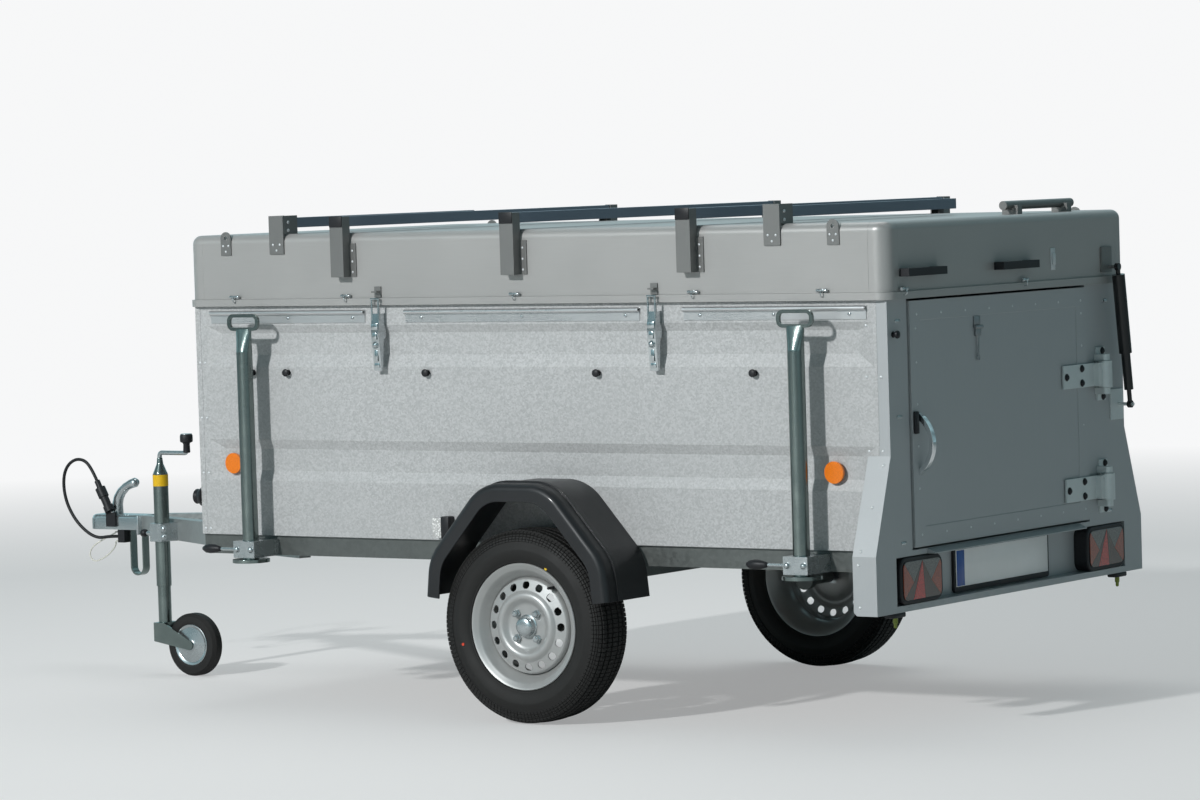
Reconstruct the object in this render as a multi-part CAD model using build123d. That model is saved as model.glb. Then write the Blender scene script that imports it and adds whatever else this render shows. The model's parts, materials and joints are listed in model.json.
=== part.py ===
"""Box camper trailer: a galvanised box body on a V drawbar with one torsion axle.

The hinged lid folds over to the right, the tail door swings on the right post,
four drop stands slide in clamps under the walls, and a jockey wheel carries the nose.
All sizes are in millimetres. +X points to the coupling, +Y to the left, +Z up,
and the ground is at Z = 0 under the middle of the trailer.
"""
import math
import os

from build123d import *

os.makedirs("parts", exist_ok=True)

# Box body
BODY_LENGTH = 2460
BODY_WIDTH = 1320
BODY_BOTTOM = 504
BODY_TOP = 1194
WALL = 20
FLOOR_THICK = 15

# Pressed grooves of the side walls
GROOVE_DEPTH = 10
GROOVE_END = 45
GROOVE_RUN_OUT = 50
# columns: upper edge, start of the flat, end of the flat, lower edge, all measured down from the body's top
GROOVES = [(58, 81, 146, 182), (401, 429, 494, 525)]

# Lid
LID_GAP = 0.5
LID_HEIGHT = 215
LID_OVERHANG = 12
LID_WALL = 22
LID_CORNER_R = 45
LID_EDGE_R = 26
LID_SEAM = 60
RIM_HEIGHT = 21
RIM_OVERHANG = 18
RIM_INNER = 14

# Lid hinge line, outside the right wall at the height of the seam
HINGE_OUT = 64
HINGE_BARREL_D = 24
HINGE_PIN_D = 12
HINGE_LENGTH = 120
HINGE_PLATE = 5
HINGE_PLATE_HEIGHT = 70
HINGE_DROP = 20
HINGE_ARM = (30, 60)
HINGE_LEAF_UP = 30
HINGE_NECK = 30
HINGE_REAR_IN = 430
HINGE_MIDDLE_IN = 900
HINGE_FRONT_IN = 480
HINGE_PLACES = [HINGE_REAR_IN, BODY_LENGTH - HINGE_MIDDLE_IN, BODY_LENGTH - HINGE_FRONT_IN]

# Gas strut on the right rear corner: ball places across and up
STRUT_UPPER_Y = 98 - BODY_WIDTH / 2
STRUT_UPPER_Z = 1242
STRUT_LOWER_Y = 42 - BODY_WIDTH / 2
STRUT_LOWER_Z = 835
STRUT_AXIS_OUT = 45
STRUT_SLEEVE_D = 38
STRUT_SLEEVE_LENGTH = 245
STRUT_TUBE_D = 27
STRUT_EYE_D = 22
STRUT_EYE_THICK = 12
STRUT_PIN_D = 10

# Roof bars and their brackets, places measured forward from the body's rear face
BAR_PLACES = [BODY_LENGTH * share for share in (0.257, 0.506, 0.759)]
BAR_WIDTH = 40
BAR_HEIGHT = 30
BAR_LIFT = 19
BAR_BRACKET_DEPTH = 36
BAR_BRACKET_FOOT = 130
BAR_BRACKET_SHEET = 4
BAR_FLANGE = 26
BAR_CAP = 12

# Fold-down legs of the opened lid
LEG_REAR_IN = 356
LEG_FRONT_IN = 340
LEG_PLACES = [LEG_REAR_IN, BODY_LENGTH - LEG_FRONT_IN]
LEG_SIDE = 30
LEG_LENGTH = 935
LEG_PIVOT_IN = 34
LEG_PIVOT_UP = 33
LEG_PIN_D = 10
LEG_BRACKET_WIDTH = 54
LEG_BRACKET_SHEET = 5
LEG_BRACKET_DROP = 60
LEG_BRACKET_RISE = 55
LEG_BRACKET_REACH = 70

# Ears and other small lid fittings
EAR_REAR_IN = 157
EAR_FRONT_IN = 143
EAR_PLACES = [EAR_REAR_IN, BODY_LENGTH - EAR_FRONT_IN]
EAR_WIDTH = 39
EAR_HEIGHT = 71
EAR_RISE = 10
EAR_SHEET = 4
EAR_HOLE_D = 12
GRAB_EDGE = 180
GRAB_LENGTH = 390
GRAB_Y = (GRAB_EDGE - BODY_WIDTH / 2, GRAB_EDGE + GRAB_LENGTH - BODY_WIDTH / 2)
GRAB_IN = 75
GRAB_ROD_D = 26
LID_HANDLE_IN = 153
LID_HANDLE_Y = [BODY_WIDTH / 2 - LID_HANDLE_IN, -5]
LID_HANDLE_LENGTH = 204
LID_HANDLE_REACH = 32
LID_HANDLE_BAR = 22
LID_HANDLE_THICK = 10
LID_HANDLE_UP = 62

# Tail frame, seen from behind
POST_FLARE_OUT = 90
POST_FLARE_TOP = 767
POST_FLARE_END = 498
POST_BOTTOM = 335
POST_DEPTH = 34
GUSSET_SHEET = 5
GUSSET_TOP = 72
GUSSET_DEPTH = 76
RECESS_TOP = 486
RECESS_BACK = 40
RECESS_SHEET = 5
RECESS_HALF = BODY_WIDTH / 2 + POST_FLARE_OUT - 105
CROSS_RAIL_HEIGHT = 18

# Tail door
DOOR_LEFT = BODY_WIDTH / 2 - 103
DOOR_RIGHT = 222 - BODY_WIDTH / 2
DOOR_GAP = 6.5
DOOR_THICK = 26
DOOR_PROUD = 4
DOOR_STRIP = 55
DOOR_STRIP_THICK = 2
DOOR_PIN_Y = DOOR_RIGHT - 62
DOOR_PIN_OUT = 30
DOOR_PIN_D = 14
DOOR_KNUCKLE_D = 40
DOOR_KNUCKLE_HEIGHT = 78
DOOR_HINGE_HEIGHTS = [930, 600]
DOOR_LEAF_HEIGHT = 68
DOOR_LEAF_REACH = 215
DOOR_LEAF_THICK = 6
DOOR_POST_LEAF_HEIGHT = 156
DOOR_HANDLE_Z = (705, 880)
DOOR_HANDLE_Y = DOOR_LEFT - 42
DOOR_HANDLE_REACH = 48
DOOR_HANDLE_WIDTH = 18
DOOR_HANDLE_THICK = 13
DOOR_HANDLE_FOOT = 20

# Tail lamps and number plate holder
LAMP_WIDTH = 224
LAMP_HEIGHT = 128
LAMP_Y = RECESS_HALF - 123
LAMP_R = 30
LAMP_PROUD = 6
PLATE_Y = 21
PLATE_WIDTH = 534
PLATE_HEIGHT = 126
PLATE_THICK = 9
STRIP_Y = (285 - BODY_WIDTH / 2, BODY_WIDTH / 2 - 180)
STRIP_REACH = 26
STRIP_HEIGHT = 19

# Chassis
RAIL_WIDTH = 50
RAIL_HEIGHT = 59
RAIL_IN = 12
RAIL_SHEET = 5
CROSS_WIDTH = 45
CROSS_HEIGHT = 50
AXLE_BEHIND = 95
AXLE_X = BODY_LENGTH / 2 - AXLE_BEHIND
CROSS_REAR_IN = 150
CROSS_BEHIND_AXLE = 375
CROSS_AHEAD_AXLE = 625
CROSS_FRONT_IN = 130
CROSS_PLACES = [CROSS_REAR_IN, AXLE_X - CROSS_BEHIND_AXLE, AXLE_X + CROSS_AHEAD_AXLE, BODY_LENGTH - CROSS_FRONT_IN]
BEAM_AHEAD = 150
BEAM_Z = 385
BEAM_SIDE = 70
ARM_THICK = 26
SPINDLE_D = 40

# Road wheels
TYRE_D = 560
TYRE_WIDTH = 150
TYRE_Y = BODY_WIDTH / 2 + 112
RIM_D = 340
RIM_FLANGE_D = 364
RIM_WIDTH = 128
DISC_OUT = 52
RIM_HOLES = 16
RIM_HOLE_D = 24
RIM_HOLE_PCD = 236
LUG_PCD = 100
LUG_COUNT = 4
LUG_D = 22
CAP_D = 56
HUB_D = 64
RUN_CLEAR = 0.3

# Wheel covers
FENDER_WIDTH = 212
FENDER_TOP = 691
FENDER_TOP_HALF = 118
FENDER_KNEE = 475
FENDER_KNEE_HALF = 310
FENDER_FOOT = 361
FENDER_FOOT_HALF = 322
FENDER_R = 150
FENDER_SHEET = 6
FENDER_LIP = 46
FENDER_EDGE_R = 22
FENDER_BEAD = 5
FENDER_BEAD_WIDTH = 20
FENDER_BEAD_IN = 50

# Drop stands, places measured forward from the body's rear face
STAND_IN = 250
STAND_PLACES = [STAND_IN, BODY_LENGTH - STAND_IN]
STAND_OUT = 75
STAND_D = 48
STAND_FOOT_D = 112
STAND_FOOT_THICK = 10
STAND_FOOT_Z = 430
STAND_TOP = 1174
STAND_LOOP_LENGTH = 118
STAND_LOOP_HEIGHT = 50
STAND_LOOP_ROD = 10
STAND_PINCH = 70
STAND_CLAMP_WIDTH = 80
STAND_CLAMP_HEIGHT = 50
STAND_CLAMP_WALL = 10
STAND_CLEAR = 0.4
STAND_LEVER = 120

# Drawbar and coupling, places measured forward from the body's rear face
DRAWBAR_REACH = 1020
DRAWBAR_UNDER = 200
NOSE_X = BODY_LENGTH + DRAWBAR_REACH
COUPLING_LENGTH = 250
COUPLING_WIDTH = 66
COUPLING_TOP = 497
COUPLING_BOTTOM = 447
BALL_D = 50
BALL_FROM_NOSE = 38
DRAWBAR_FRONT_Y = 32
DRAWBAR_REAR = BODY_LENGTH - DRAWBAR_UNDER
DRAWBAR_REAR_Y = 418
DRAWBAR_FRONT_HEIGHT = 62
DRAWBAR_DEPTH = 40
DRAWBAR_WIDTH = 40
LEVER_BACK = 95
LEVER_LENGTH = 145
LEVER_RISE = 115
LEVER_WIDTH = 28
LEVER_FOOT = 40
LEVER_GRIP = 24
HOOP_BACK = 192
HOOP_WIDTH = 56
HOOP_BOTTOM = 297
HOOP_ROD = 14

# Parked plug, its cable and the breakaway cable, measured forward from the coupling's nose
PLUG_Y = 40
PLUG_D = 34
PLUG_LENGTH = 92
PLUG_TILT = 28
PLUG_BACK = 96
PLUG_LIFT = 28
HOLDER_SHEET = 8
CLIP_BACK = 128
CLIP_LENGTH = 28
CLIP_DROP = 42
CABLE_D = 10.5
BREAKAWAY_D = 5

# Jockey wheel
JOCKEY_BACK = 433
JOCKEY_X = NOSE_X - JOCKEY_BACK
JOCKEY_Y = 165
JOCKEY_OUTER_D = 48
JOCKEY_INNER_D = 42
JOCKEY_SHEET = 2.4
JOCKEY_CLEAR = 0.4
JOCKEY_TOP = 643
JOCKEY_OUTER_END = 284
JOCKEY_CONE_TOP = 695
JOCKEY_CRANK_Z = 711
JOCKEY_CRANK_LENGTH = 114
JOCKEY_KNOB_TOP = 773
JOCKEY_KNOB_HEIGHT = 26
JOCKEY_KNOB_D = 36
JOCKEY_CLAMP_Z = (428, 486)
JOCKEY_TRAIL = 122
JOCKEY_WHEEL_D = 200
JOCKEY_WHEEL_WIDTH = 50
JOCKEY_FORK_TOP = 168
JOCKEY_TRAVEL = 105
JOCKEY_CROWN = 40
JOCKEY_CHEEK = 5
JOCKEY_CHEEK_DROP = 60
JOCKEY_CHEEK_END = 16
JOCKEY_AXLE_D = 12
JOCKEY_CAP = 10
JOCKEY_LEG_RISE = 170
JOCKEY_SPINDLE_RISE = 180
JOCKEY_SPINDLE_LOW = 150

# Fittings of the left and right walls, places measured forward from the body's rear face
LATCH_PLACES = [BODY_LENGTH * share for share in (0.308, 0.709)]
AWNING_ENDS = 65
AWNING_CLEAR = (90, 61)
AWNING_SPANS = [
    (AWNING_ENDS, LATCH_PLACES[0] - AWNING_CLEAR[0]),
    (LATCH_PLACES[0] + AWNING_CLEAR[1], LATCH_PLACES[1] - AWNING_CLEAR[0]),
    (LATCH_PLACES[1] + AWNING_CLEAR[1], BODY_LENGTH - AWNING_ENDS),
]
AWNING_DROP = 51
AWNING_HEIGHT = 38
AWNING_SHEET = 3
AWNING_BEAD_D = 14
LATCH_WIDTH = 40
LATCH_OUT = 30
LATCH_ROD = 6
LATCH_LEVER = (1002, 1150)
LATCH_KEEPER_UP = 37
REFLECTOR_REAR_IN = 180
REFLECTOR_FRONT_IN = 137
REFLECTOR_PLACES = [REFLECTOR_REAR_IN, BODY_LENGTH - REFLECTOR_FRONT_IN]
REFLECTOR_Z = 721
REFLECTOR_D = 62
REFLECTOR_THICK = 9
REFLECTOR_FOOT_D = 36
MARKER_AHEAD = 396
MARKER_PLACE = AXLE_X + MARKER_AHEAD
MARKER_SIDE = 58
MARKER_Z = 543

# Worked-out places
REAR_REACH = max(STRUT_AXIS_OUT + STRUT_SLEEVE_D / 2, LID_OVERHANG + LID_HANDLE_REACH)
BODY_REAR = -(NOSE_X - REAR_REACH) / 2
BODY_FRONT = BODY_REAR + BODY_LENGTH
HALF = BODY_WIDTH / 2
LID_BOTTOM = BODY_TOP + LID_GAP
LID_TOP = BODY_TOP + LID_HEIGHT
LID_HALF = HALF + LID_OVERHANG
LID_REAR = BODY_REAR - LID_OVERHANG
LID_FRONT = BODY_FRONT + LID_OVERHANG
HINGE_Y = -HALF - HINGE_OUT
RAIL_BOTTOM = BODY_BOTTOM - RAIL_HEIGHT
CROSS_BOTTOM = BODY_BOTTOM - CROSS_HEIGHT
RAIL_OUTER = HALF - RAIL_IN
AXLE_PLACE = BODY_REAR + AXLE_X
STAND_Y = HALF + STAND_OUT


def box(x0, x1, y0, y1, z0, z1):
    """A block between two corners."""
    middle = ((x0 + x1) / 2, (y0 + y1) / 2, (z0 + z1) / 2)
    return Pos(*middle) * Box(abs(x1 - x0), abs(y1 - y0), abs(z1 - z0))


def rod(start, end, diameter):
    """A round bar between two points."""
    path = Vector(*end) - Vector(*start)
    plane = Plane(origin=start, z_dir=path)
    return extrude(plane * Circle(diameter / 2), path.length)


def prism_y(points, y0, y1, radius=0):
    """A profile drawn in X and Z, carried across from y0 to y1."""
    plane = Plane(origin=(0, y0, 0), x_dir=(1, 0, 0), z_dir=(0, -1, 0))
    face = make_face(Polyline(*points, close=True))
    if radius:
        face = fillet(face.vertices(), radius)
    return extrude(plane * face, y0 - y1)


def prism_x(points, x0, x1):
    """A profile drawn in Y and Z, carried along from x0 to x1."""
    plane = Plane(origin=(x0, 0, 0), x_dir=(0, 1, 0), z_dir=(1, 0, 0))
    return extrude(plane * make_face(Polyline(*points, close=True)), x1 - x0)


def mirrored(shape):
    """The same piece on the other side of the trailer."""
    return mirror(shape, about=Plane.XZ)


def both_sides(shapes):
    """A list of left-hand pieces with their right-hand twins."""
    return shapes + [mirrored(shape) for shape in shapes]


NODES = {}


def node(name, shapes):
    """Keep a named piece, made of one solid or of several that don't touch."""
    NODES[name] = shapes if isinstance(shapes, list) else [shapes]


# Box body


def groove(upper, flat_top, flat_bottom, lower):
    """The tool for one pressed groove of the left wall, fading out at both ends."""
    x_middle = (BODY_REAR + BODY_FRONT) / 2
    length = BODY_LENGTH - 2 * GROOVE_END
    z_outer = BODY_TOP - (upper + lower) / 2
    z_inner = BODY_TOP - (flat_top + flat_bottom) / 2
    outer_plane = Plane(origin=(x_middle, HALF, z_outer), x_dir=(1, 0, 0), z_dir=(0, -1, 0))
    inner_plane = Plane(origin=(x_middle, HALF - GROOVE_DEPTH, z_inner), x_dir=(1, 0, 0), z_dir=(0, -1, 0))
    mouth = outer_plane * Rectangle(length, lower - upper)
    bottom = inner_plane * Rectangle(length - 2 * GROOVE_RUN_OUT, flat_bottom - flat_top)
    return loft([mouth, bottom])


def make_body():
    rear = BODY_REAR + POST_DEPTH
    front = BODY_FRONT - WALL
    wall = box(rear, front, HALF - WALL, HALF, BODY_BOTTOM, BODY_TOP)
    for row in GROOVES:
        wall -= groove(*row)
    node("side_wall_left", wall)
    node("side_wall_right", mirrored(wall))
    node("front_wall", box(front, BODY_FRONT, -HALF, HALF, BODY_BOTTOM, BODY_TOP))
    inner = HALF - WALL
    node("floor_panel", box(rear, front, -inner, inner, BODY_BOTTOM, BODY_BOTTOM + FLOOR_THICK))


def make_tail_frame():
    flare = HALF + POST_FLARE_OUT
    outline = [
        (-HALF, BODY_TOP), (-HALF, POST_FLARE_TOP), (-flare, POST_FLARE_END), (-flare, POST_BOTTOM),
        (flare, POST_BOTTOM), (flare, POST_FLARE_END), (HALF, POST_FLARE_TOP), (HALF, BODY_TOP),
    ]
    frame = prism_x(outline, BODY_REAR, BODY_REAR + POST_DEPTH)
    front = BODY_REAR + GUSSET_DEPTH
    frame -= box(BODY_REAR - 1, front, DOOR_RIGHT, DOOR_LEFT, BODY_BOTTOM - 3, BODY_TOP + 1)
    frame -= box(BODY_REAR - 1, front, -RECESS_HALF, RECESS_HALF, POST_BOTTOM - 1, RECESS_TOP)
    back = BODY_REAR + RECESS_BACK
    frame += box(
        BODY_REAR + POST_DEPTH, back + RECESS_SHEET, -RECESS_HALF - GUSSET_SHEET, RECESS_HALF + GUSSET_SHEET,
        POST_BOTTOM, BODY_BOTTOM,
    ) - box(BODY_REAR, back, -RECESS_HALF, RECESS_HALF, POST_BOTTOM - 1, RECESS_TOP)
    side = [
        (BODY_REAR, POST_BOTTOM), (front - 2 * GUSSET_SHEET, POST_BOTTOM), (front, POST_BOTTOM + 2 * GUSSET_SHEET),
        (front, POST_FLARE_END), (BODY_REAR + GUSSET_TOP, POST_FLARE_TOP), (BODY_REAR, POST_FLARE_TOP),
    ]
    skin = [
        (HALF, POST_FLARE_TOP), (flare, POST_FLARE_END), (flare, POST_BOTTOM), (flare - GUSSET_SHEET, POST_BOTTOM),
        (flare - GUSSET_SHEET, POST_FLARE_END), (HALF, POST_FLARE_TOP - 3 * GUSSET_SHEET),
    ]
    gusset = prism_y(side, HALF, flare) & prism_x(skin, BODY_REAR, front)
    frame = frame + gusset + mirrored(gusset)
    node("rear_frame", frame)

    rail = box(BODY_REAR, back, -RECESS_HALF, RECESS_HALF, POST_BOTTOM, POST_BOTTOM + CROSS_RAIL_HEIGHT)
    strip = prism_y(
        [
            (BODY_REAR, RECESS_TOP), (BODY_REAR, RECESS_TOP + STRIP_HEIGHT - 5),
            (BODY_REAR - STRIP_REACH, RECESS_TOP + 3), (BODY_REAR - STRIP_REACH, RECESS_TOP),
        ],
        STRIP_Y[0], STRIP_Y[1],
    )
    node("rear_rails", [rail, strip])


def make_tail_lamps():
    back = BODY_REAR + RECESS_BACK
    z = (POST_BOTTOM + CROSS_RAIL_HEIGHT + RECESS_TOP) / 2
    face = Plane(origin=(back, LAMP_Y, z), x_dir=(0, 1, 0), z_dir=(-1, 0, 0))
    lamp = extrude(face * RectangleRounded(LAMP_WIDTH, LAMP_HEIGHT, LAMP_R), RECESS_BACK + LAMP_PROUD)
    lamp = chamfer(lamp.faces().sort_by(Axis.X)[0].edges(), LAMP_PROUD / 2)
    node("rear_lamps", both_sides([lamp]))
    plate_face = Plane(origin=(back, PLATE_Y, z), x_dir=(0, 1, 0), z_dir=(-1, 0, 0))
    plate = extrude(plate_face * RectangleRounded(PLATE_WIDTH, PLATE_HEIGHT, LAMP_R / 3), PLATE_THICK)
    node("plate_holder", plate)


def make_chassis():
    outer = RAIL_OUTER
    profile = [
        (outer, BODY_BOTTOM), (outer, RAIL_BOTTOM), (outer - RAIL_WIDTH, RAIL_BOTTOM),
        (outer - RAIL_WIDTH, RAIL_BOTTOM + RAIL_SHEET), (outer - RAIL_SHEET, RAIL_BOTTOM + RAIL_SHEET),
        (outer - RAIL_SHEET, BODY_BOTTOM - RAIL_SHEET), (outer - RAIL_WIDTH, BODY_BOTTOM - RAIL_SHEET),
        (outer - RAIL_WIDTH, BODY_BOTTOM),
    ]
    rail = prism_x(profile, BODY_REAR + RECESS_BACK + RECESS_SHEET, BODY_FRONT)
    node("side_rails", both_sides([rail]))
    inner = outer - RAIL_WIDTH
    members = []
    for place in CROSS_PLACES:
        x = BODY_REAR + place
        beam = box(x, x + CROSS_WIDTH, -inner, inner, BODY_BOTTOM - CROSS_HEIGHT, BODY_BOTTOM)
        beam -= box(x + RAIL_SHEET, x + CROSS_WIDTH + 1, -inner - 1, inner + 1,
                    BODY_BOTTOM - CROSS_HEIGHT + RAIL_SHEET, BODY_BOTTOM - RAIL_SHEET)
        members.append(beam)
    node("cross_members", members)


def make_axle():
    x = AXLE_PLACE + BEAM_AHEAD
    half = BEAM_SIDE / 2
    inner = RAIL_OUTER - RAIL_WIDTH
    beam = box(x - half, x + half, -RAIL_OUTER, RAIL_OUTER, BEAM_Z - half, BEAM_Z + half)
    bracket = box(x - BEAM_SIDE, x + BEAM_SIDE, inner, RAIL_OUTER, BEAM_Z + half, RAIL_BOTTOM)
    node("axle_beam", beam + bracket + mirrored(bracket))
    radius = TYRE_D / 2
    hub = Plane(origin=(AXLE_PLACE, RAIL_OUTER, radius), x_dir=(1, 0, 0), z_dir=(0, 1, 0))
    root = Plane(origin=(x, RAIL_OUTER, BEAM_Z), x_dir=(1, 0, 0), z_dir=(0, 1, 0))
    disc = BEAM_SIDE * 0.45
    arm = extrude(hub * Circle(disc), ARM_THICK) + extrude(root * Circle(disc), ARM_THICK)
    slope = math.degrees(math.atan2(BEAM_Z - radius, BEAM_AHEAD))
    length = math.hypot(BEAM_AHEAD, BEAM_Z - radius)
    middle = Pos((x + AXLE_PLACE) / 2, RAIL_OUTER + ARM_THICK / 2, (BEAM_Z + radius) / 2)
    arm += middle * Rot(0, -slope, 0) * Box(length, ARM_THICK, disc * 1.6)
    arm += rod((AXLE_PLACE, RAIL_OUTER, radius), (AXLE_PLACE, TYRE_Y + DISC_OUT - RIM_WIDTH / 4, radius), SPINDLE_D)
    node("axle_arms", both_sides([arm]))


# Road wheels and their covers


def revolved(points, x, z):
    """A profile of radius and width, turned about the wheel's axis."""
    face = make_face(Polyline(*points, close=True))
    return Pos(x, 0, z) * revolve(face, Axis.Y)


def make_wheels():
    radius = TYRE_D / 2
    half = TYRE_WIDTH / 2
    rim_half = RIM_WIDTH / 2
    bead = RIM_D / 2
    flange = RIM_FLANGE_D / 2
    seat = rim_half - 12
    shoulder = radius - 14
    profile = [
        (bead, seat), (flange + 1, seat + 4), (flange + 4, half - 12), (radius - 60, half), (shoulder - 12, half - 6),
        (shoulder + 8, half - 18), (radius, half - 34),
    ]
    profile += [(r, -width) for r, width in reversed(profile)]
    tyre = Pos(0, TYRE_Y, 0) * revolved(profile, AXLE_PLACE, radius)
    barrel = [
        (bead - 1, rim_half - 24), (bead - 1, rim_half - 10), (flange, rim_half - 6), (flange, rim_half),
        (bead - 14, rim_half - 6), (bead - 32, rim_half - 30), (bead - 32, 24 - rim_half), (bead - 12, 10 - rim_half),
        (flange, -rim_half), (flange, 6 - rim_half), (bead - 1, 10 - rim_half), (bead - 1, 26 - rim_half),
        (bead - 26, 34 - rim_half), (bead - 26, rim_half - 40),
    ]
    disc = [
        (bead - 27, DISC_OUT - 34), (bead - 36, DISC_OUT - 14), (bead - 54, DISC_OUT - 2), (bead - 70, DISC_OUT - 6),
        (78, DISC_OUT - 24), (66, DISC_OUT - 12), (34, DISC_OUT - 12), (34, DISC_OUT - 20), (70, DISC_OUT - 20),
        (82, DISC_OUT - 32), (bead - 68, DISC_OUT - 14), (bead - 54, DISC_OUT - 10), (bead - 42, DISC_OUT - 20),
        (bead - 33, DISC_OUT - 40),
    ]
    rim = revolved(barrel, 0, 0) + revolved(disc, 0, 0)
    for place in PolarLocations(RIM_HOLE_PCD / 2, RIM_HOLES):
        spot = place.position
        rim -= rod((spot.X, -rim_half, spot.Y), (spot.X, rim_half, spot.Y), RIM_HOLE_D)
    bore = SPINDLE_D / 2 + RUN_CLEAR
    hub = [
        (bore, DISC_OUT - 60), (HUB_D / 2 + 24, DISC_OUT - 60), (HUB_D / 2 + 24, DISC_OUT - 20), (HUB_D / 2, DISC_OUT - 20),
        (HUB_D / 2, DISC_OUT - 6), (CAP_D / 2, DISC_OUT - 6), (CAP_D / 2, DISC_OUT + 8), (CAP_D / 2 - 5, DISC_OUT + 13),
        (0, DISC_OUT + 13), (0, DISC_OUT - 12), (bore, DISC_OUT - 12),
    ]
    rim += revolved(hub, 0, 0)
    for place in PolarLocations(LUG_PCD / 2, LUG_COUNT, 45):
        spot = place.position
        rim += rod((spot.X, DISC_OUT - 21, spot.Y), (spot.X, DISC_OUT + 2, spot.Y), LUG_D)
    rim = Pos(AXLE_PLACE, TYRE_Y, radius) * rim
    node("tyre_left", tyre)
    node("tyre_right", mirrored(tyre))
    node("rim_left", rim)
    node("rim_right", mirrored(rim))


def cover_path():
    """Half-hexagon outline of a wheel cover with rounded corners."""
    rows = [
        (FENDER_FOOT_HALF, FENDER_FOOT), (FENDER_KNEE_HALF, FENDER_KNEE), (FENDER_TOP_HALF, FENDER_TOP),
    ]
    right = [(AXLE_PLACE + half, z) for half, z in rows]
    left = [(AXLE_PLACE - half, z) for half, z in reversed(rows)]
    return FilletPolyline(*(right + left), radius=FENDER_R)


def cover_band(y0, y1, thick, side):
    """A strip along the cover's outline, as thick as given on one side of it."""
    plane = Plane(origin=(0, y0, 0), x_dir=(1, 0, 0), z_dir=(0, -1, 0))
    return extrude(plane * make_face(offset(cover_path(), thick, side=side)), y0 - y1)


def edge_on_band(edge, y, depth):
    """Whether an edge runs along the cover's outline at this place across and depth under the skin."""
    middle = edge @ 0.5
    if any(abs((edge @ share).Y - y) > 0.01 for share in (0, 0.5, 1)):
        return False
    reach = cover_path().distance_to(Vector(middle.X, middle.Z, 0))
    return abs(reach - depth) < 0.5 and edge.length > 2 * FENDER_SHEET + FENDER_LIP / 2


def make_covers():
    outer = HALF + FENDER_WIDTH
    cover = cover_band(HALF, outer, FENDER_SHEET, Side.LEFT)
    cover += cover_band(outer - FENDER_SHEET, outer, FENDER_SHEET + FENDER_LIP, Side.LEFT)
    corner = [edge for edge in cover.edges() if edge_on_band(edge, outer - FENDER_SHEET, FENDER_SHEET)]
    cover = fillet(corner, FENDER_EDGE_R - FENDER_SHEET)
    corner = [edge for edge in cover.edges() if edge_on_band(edge, outer, 0)]
    cover = fillet(corner, FENDER_EDGE_R)
    bead_end = outer - FENDER_BEAD_IN
    cover += cover_band(bead_end - FENDER_BEAD_WIDTH, bead_end, FENDER_BEAD, Side.RIGHT)
    node("fender_left", cover)
    node("fender_right", mirrored(cover))


# Lid


def rounded_block(reach, bottom, top, corner, edge):
    """A block over the whole lid with rounded upright corners and rounded top edges."""
    x_middle = (LID_REAR + LID_FRONT) / 2
    plane = Plane(origin=(x_middle, 0, bottom))
    length = LID_FRONT - LID_REAR + 2 * reach
    face = plane * RectangleRounded(length, 2 * (LID_HALF + reach), corner)
    solid = extrude(face, top - bottom)
    if edge:
        solid = fillet(solid.faces().sort_by(Axis.Z)[-1].edges(), edge)
    return solid


def make_lid_shell():
    bottom = LID_BOTTOM + RIM_HEIGHT
    outside = rounded_block(0, bottom, LID_TOP, LID_CORNER_R, LID_EDGE_R)
    inside = rounded_block(-LID_WALL, bottom - 1, LID_TOP - LID_WALL, LID_CORNER_R - LID_WALL, 0)
    shell = outside - inside
    far = BODY_LENGTH
    x0, x1 = LID_REAR + LID_SEAM, LID_FRONT - LID_SEAM
    y1 = LID_HALF - LID_SEAM
    top = LID_TOP + 1
    middle = shell & box(x0, x1, -far, far, 0, top)
    node("lid_side_left", middle & box(x0, x1, y1, far, 0, top))
    node("lid_side_right", middle & box(x0, x1, -far, -y1, 0, top))
    node("lid_roof", middle & box(x0, x1, -y1, y1, 0, top))
    ends = [box(x1, x1 + far, -y1, y1, 0, top), box(x0 - far, x0, -y1, y1, 0, top)]
    node("lid_end_panels", [shell & end for end in ends])
    corners = []
    for x in (x0 - far, x1):
        for y in (-y1 - far, y1):
            corners.append(shell & box(x, x + far, y, y + far, 0, top))
    node("lid_corners", corners)
    rim_outside = rounded_block(RIM_OVERHANG - LID_OVERHANG, LID_BOTTOM, bottom, LID_CORNER_R, 0)
    rim_inside = rounded_block(-LID_WALL - RIM_INNER, LID_BOTTOM - 1, bottom + 1, LID_CORNER_R - LID_WALL, 0)
    node("lid_rim", rim_outside - rim_inside)


def make_roof_bars():
    low = LID_TOP + BAR_LIFT
    high = low + BAR_HEIGHT
    reach = LID_HALF + BAR_BRACKET_DEPTH - BAR_BRACKET_SHEET
    sheet = BAR_BRACKET_SHEET
    bars = []
    brackets = []
    for place in BAR_PLACES:
        x0 = BODY_REAR + place - BAR_WIDTH / 2
        x1 = x0 + BAR_WIDTH
        bars.append(box(x0, x1, -reach, reach, low, high))
        foot = LID_TOP - BAR_BRACKET_FOOT
        web = box(x0 - sheet, x1 + sheet, reach, reach + sheet, foot, high)
        cheek = box(x0 - sheet, x0, LID_HALF, reach, foot, high)
        flange = box(x0 - BAR_FLANGE, x0, LID_HALF, LID_HALF + sheet, foot, LID_TOP - 1.2 * LID_EDGE_R)
        twin = Plane.YZ.offset((x0 + x1) / 2)
        bracket = web + cheek + mirror(cheek, about=twin) + flange + mirror(flange, about=twin)
        brackets.append(bracket)
    node("roof_bars", bars)
    return both_sides(brackets)


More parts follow.
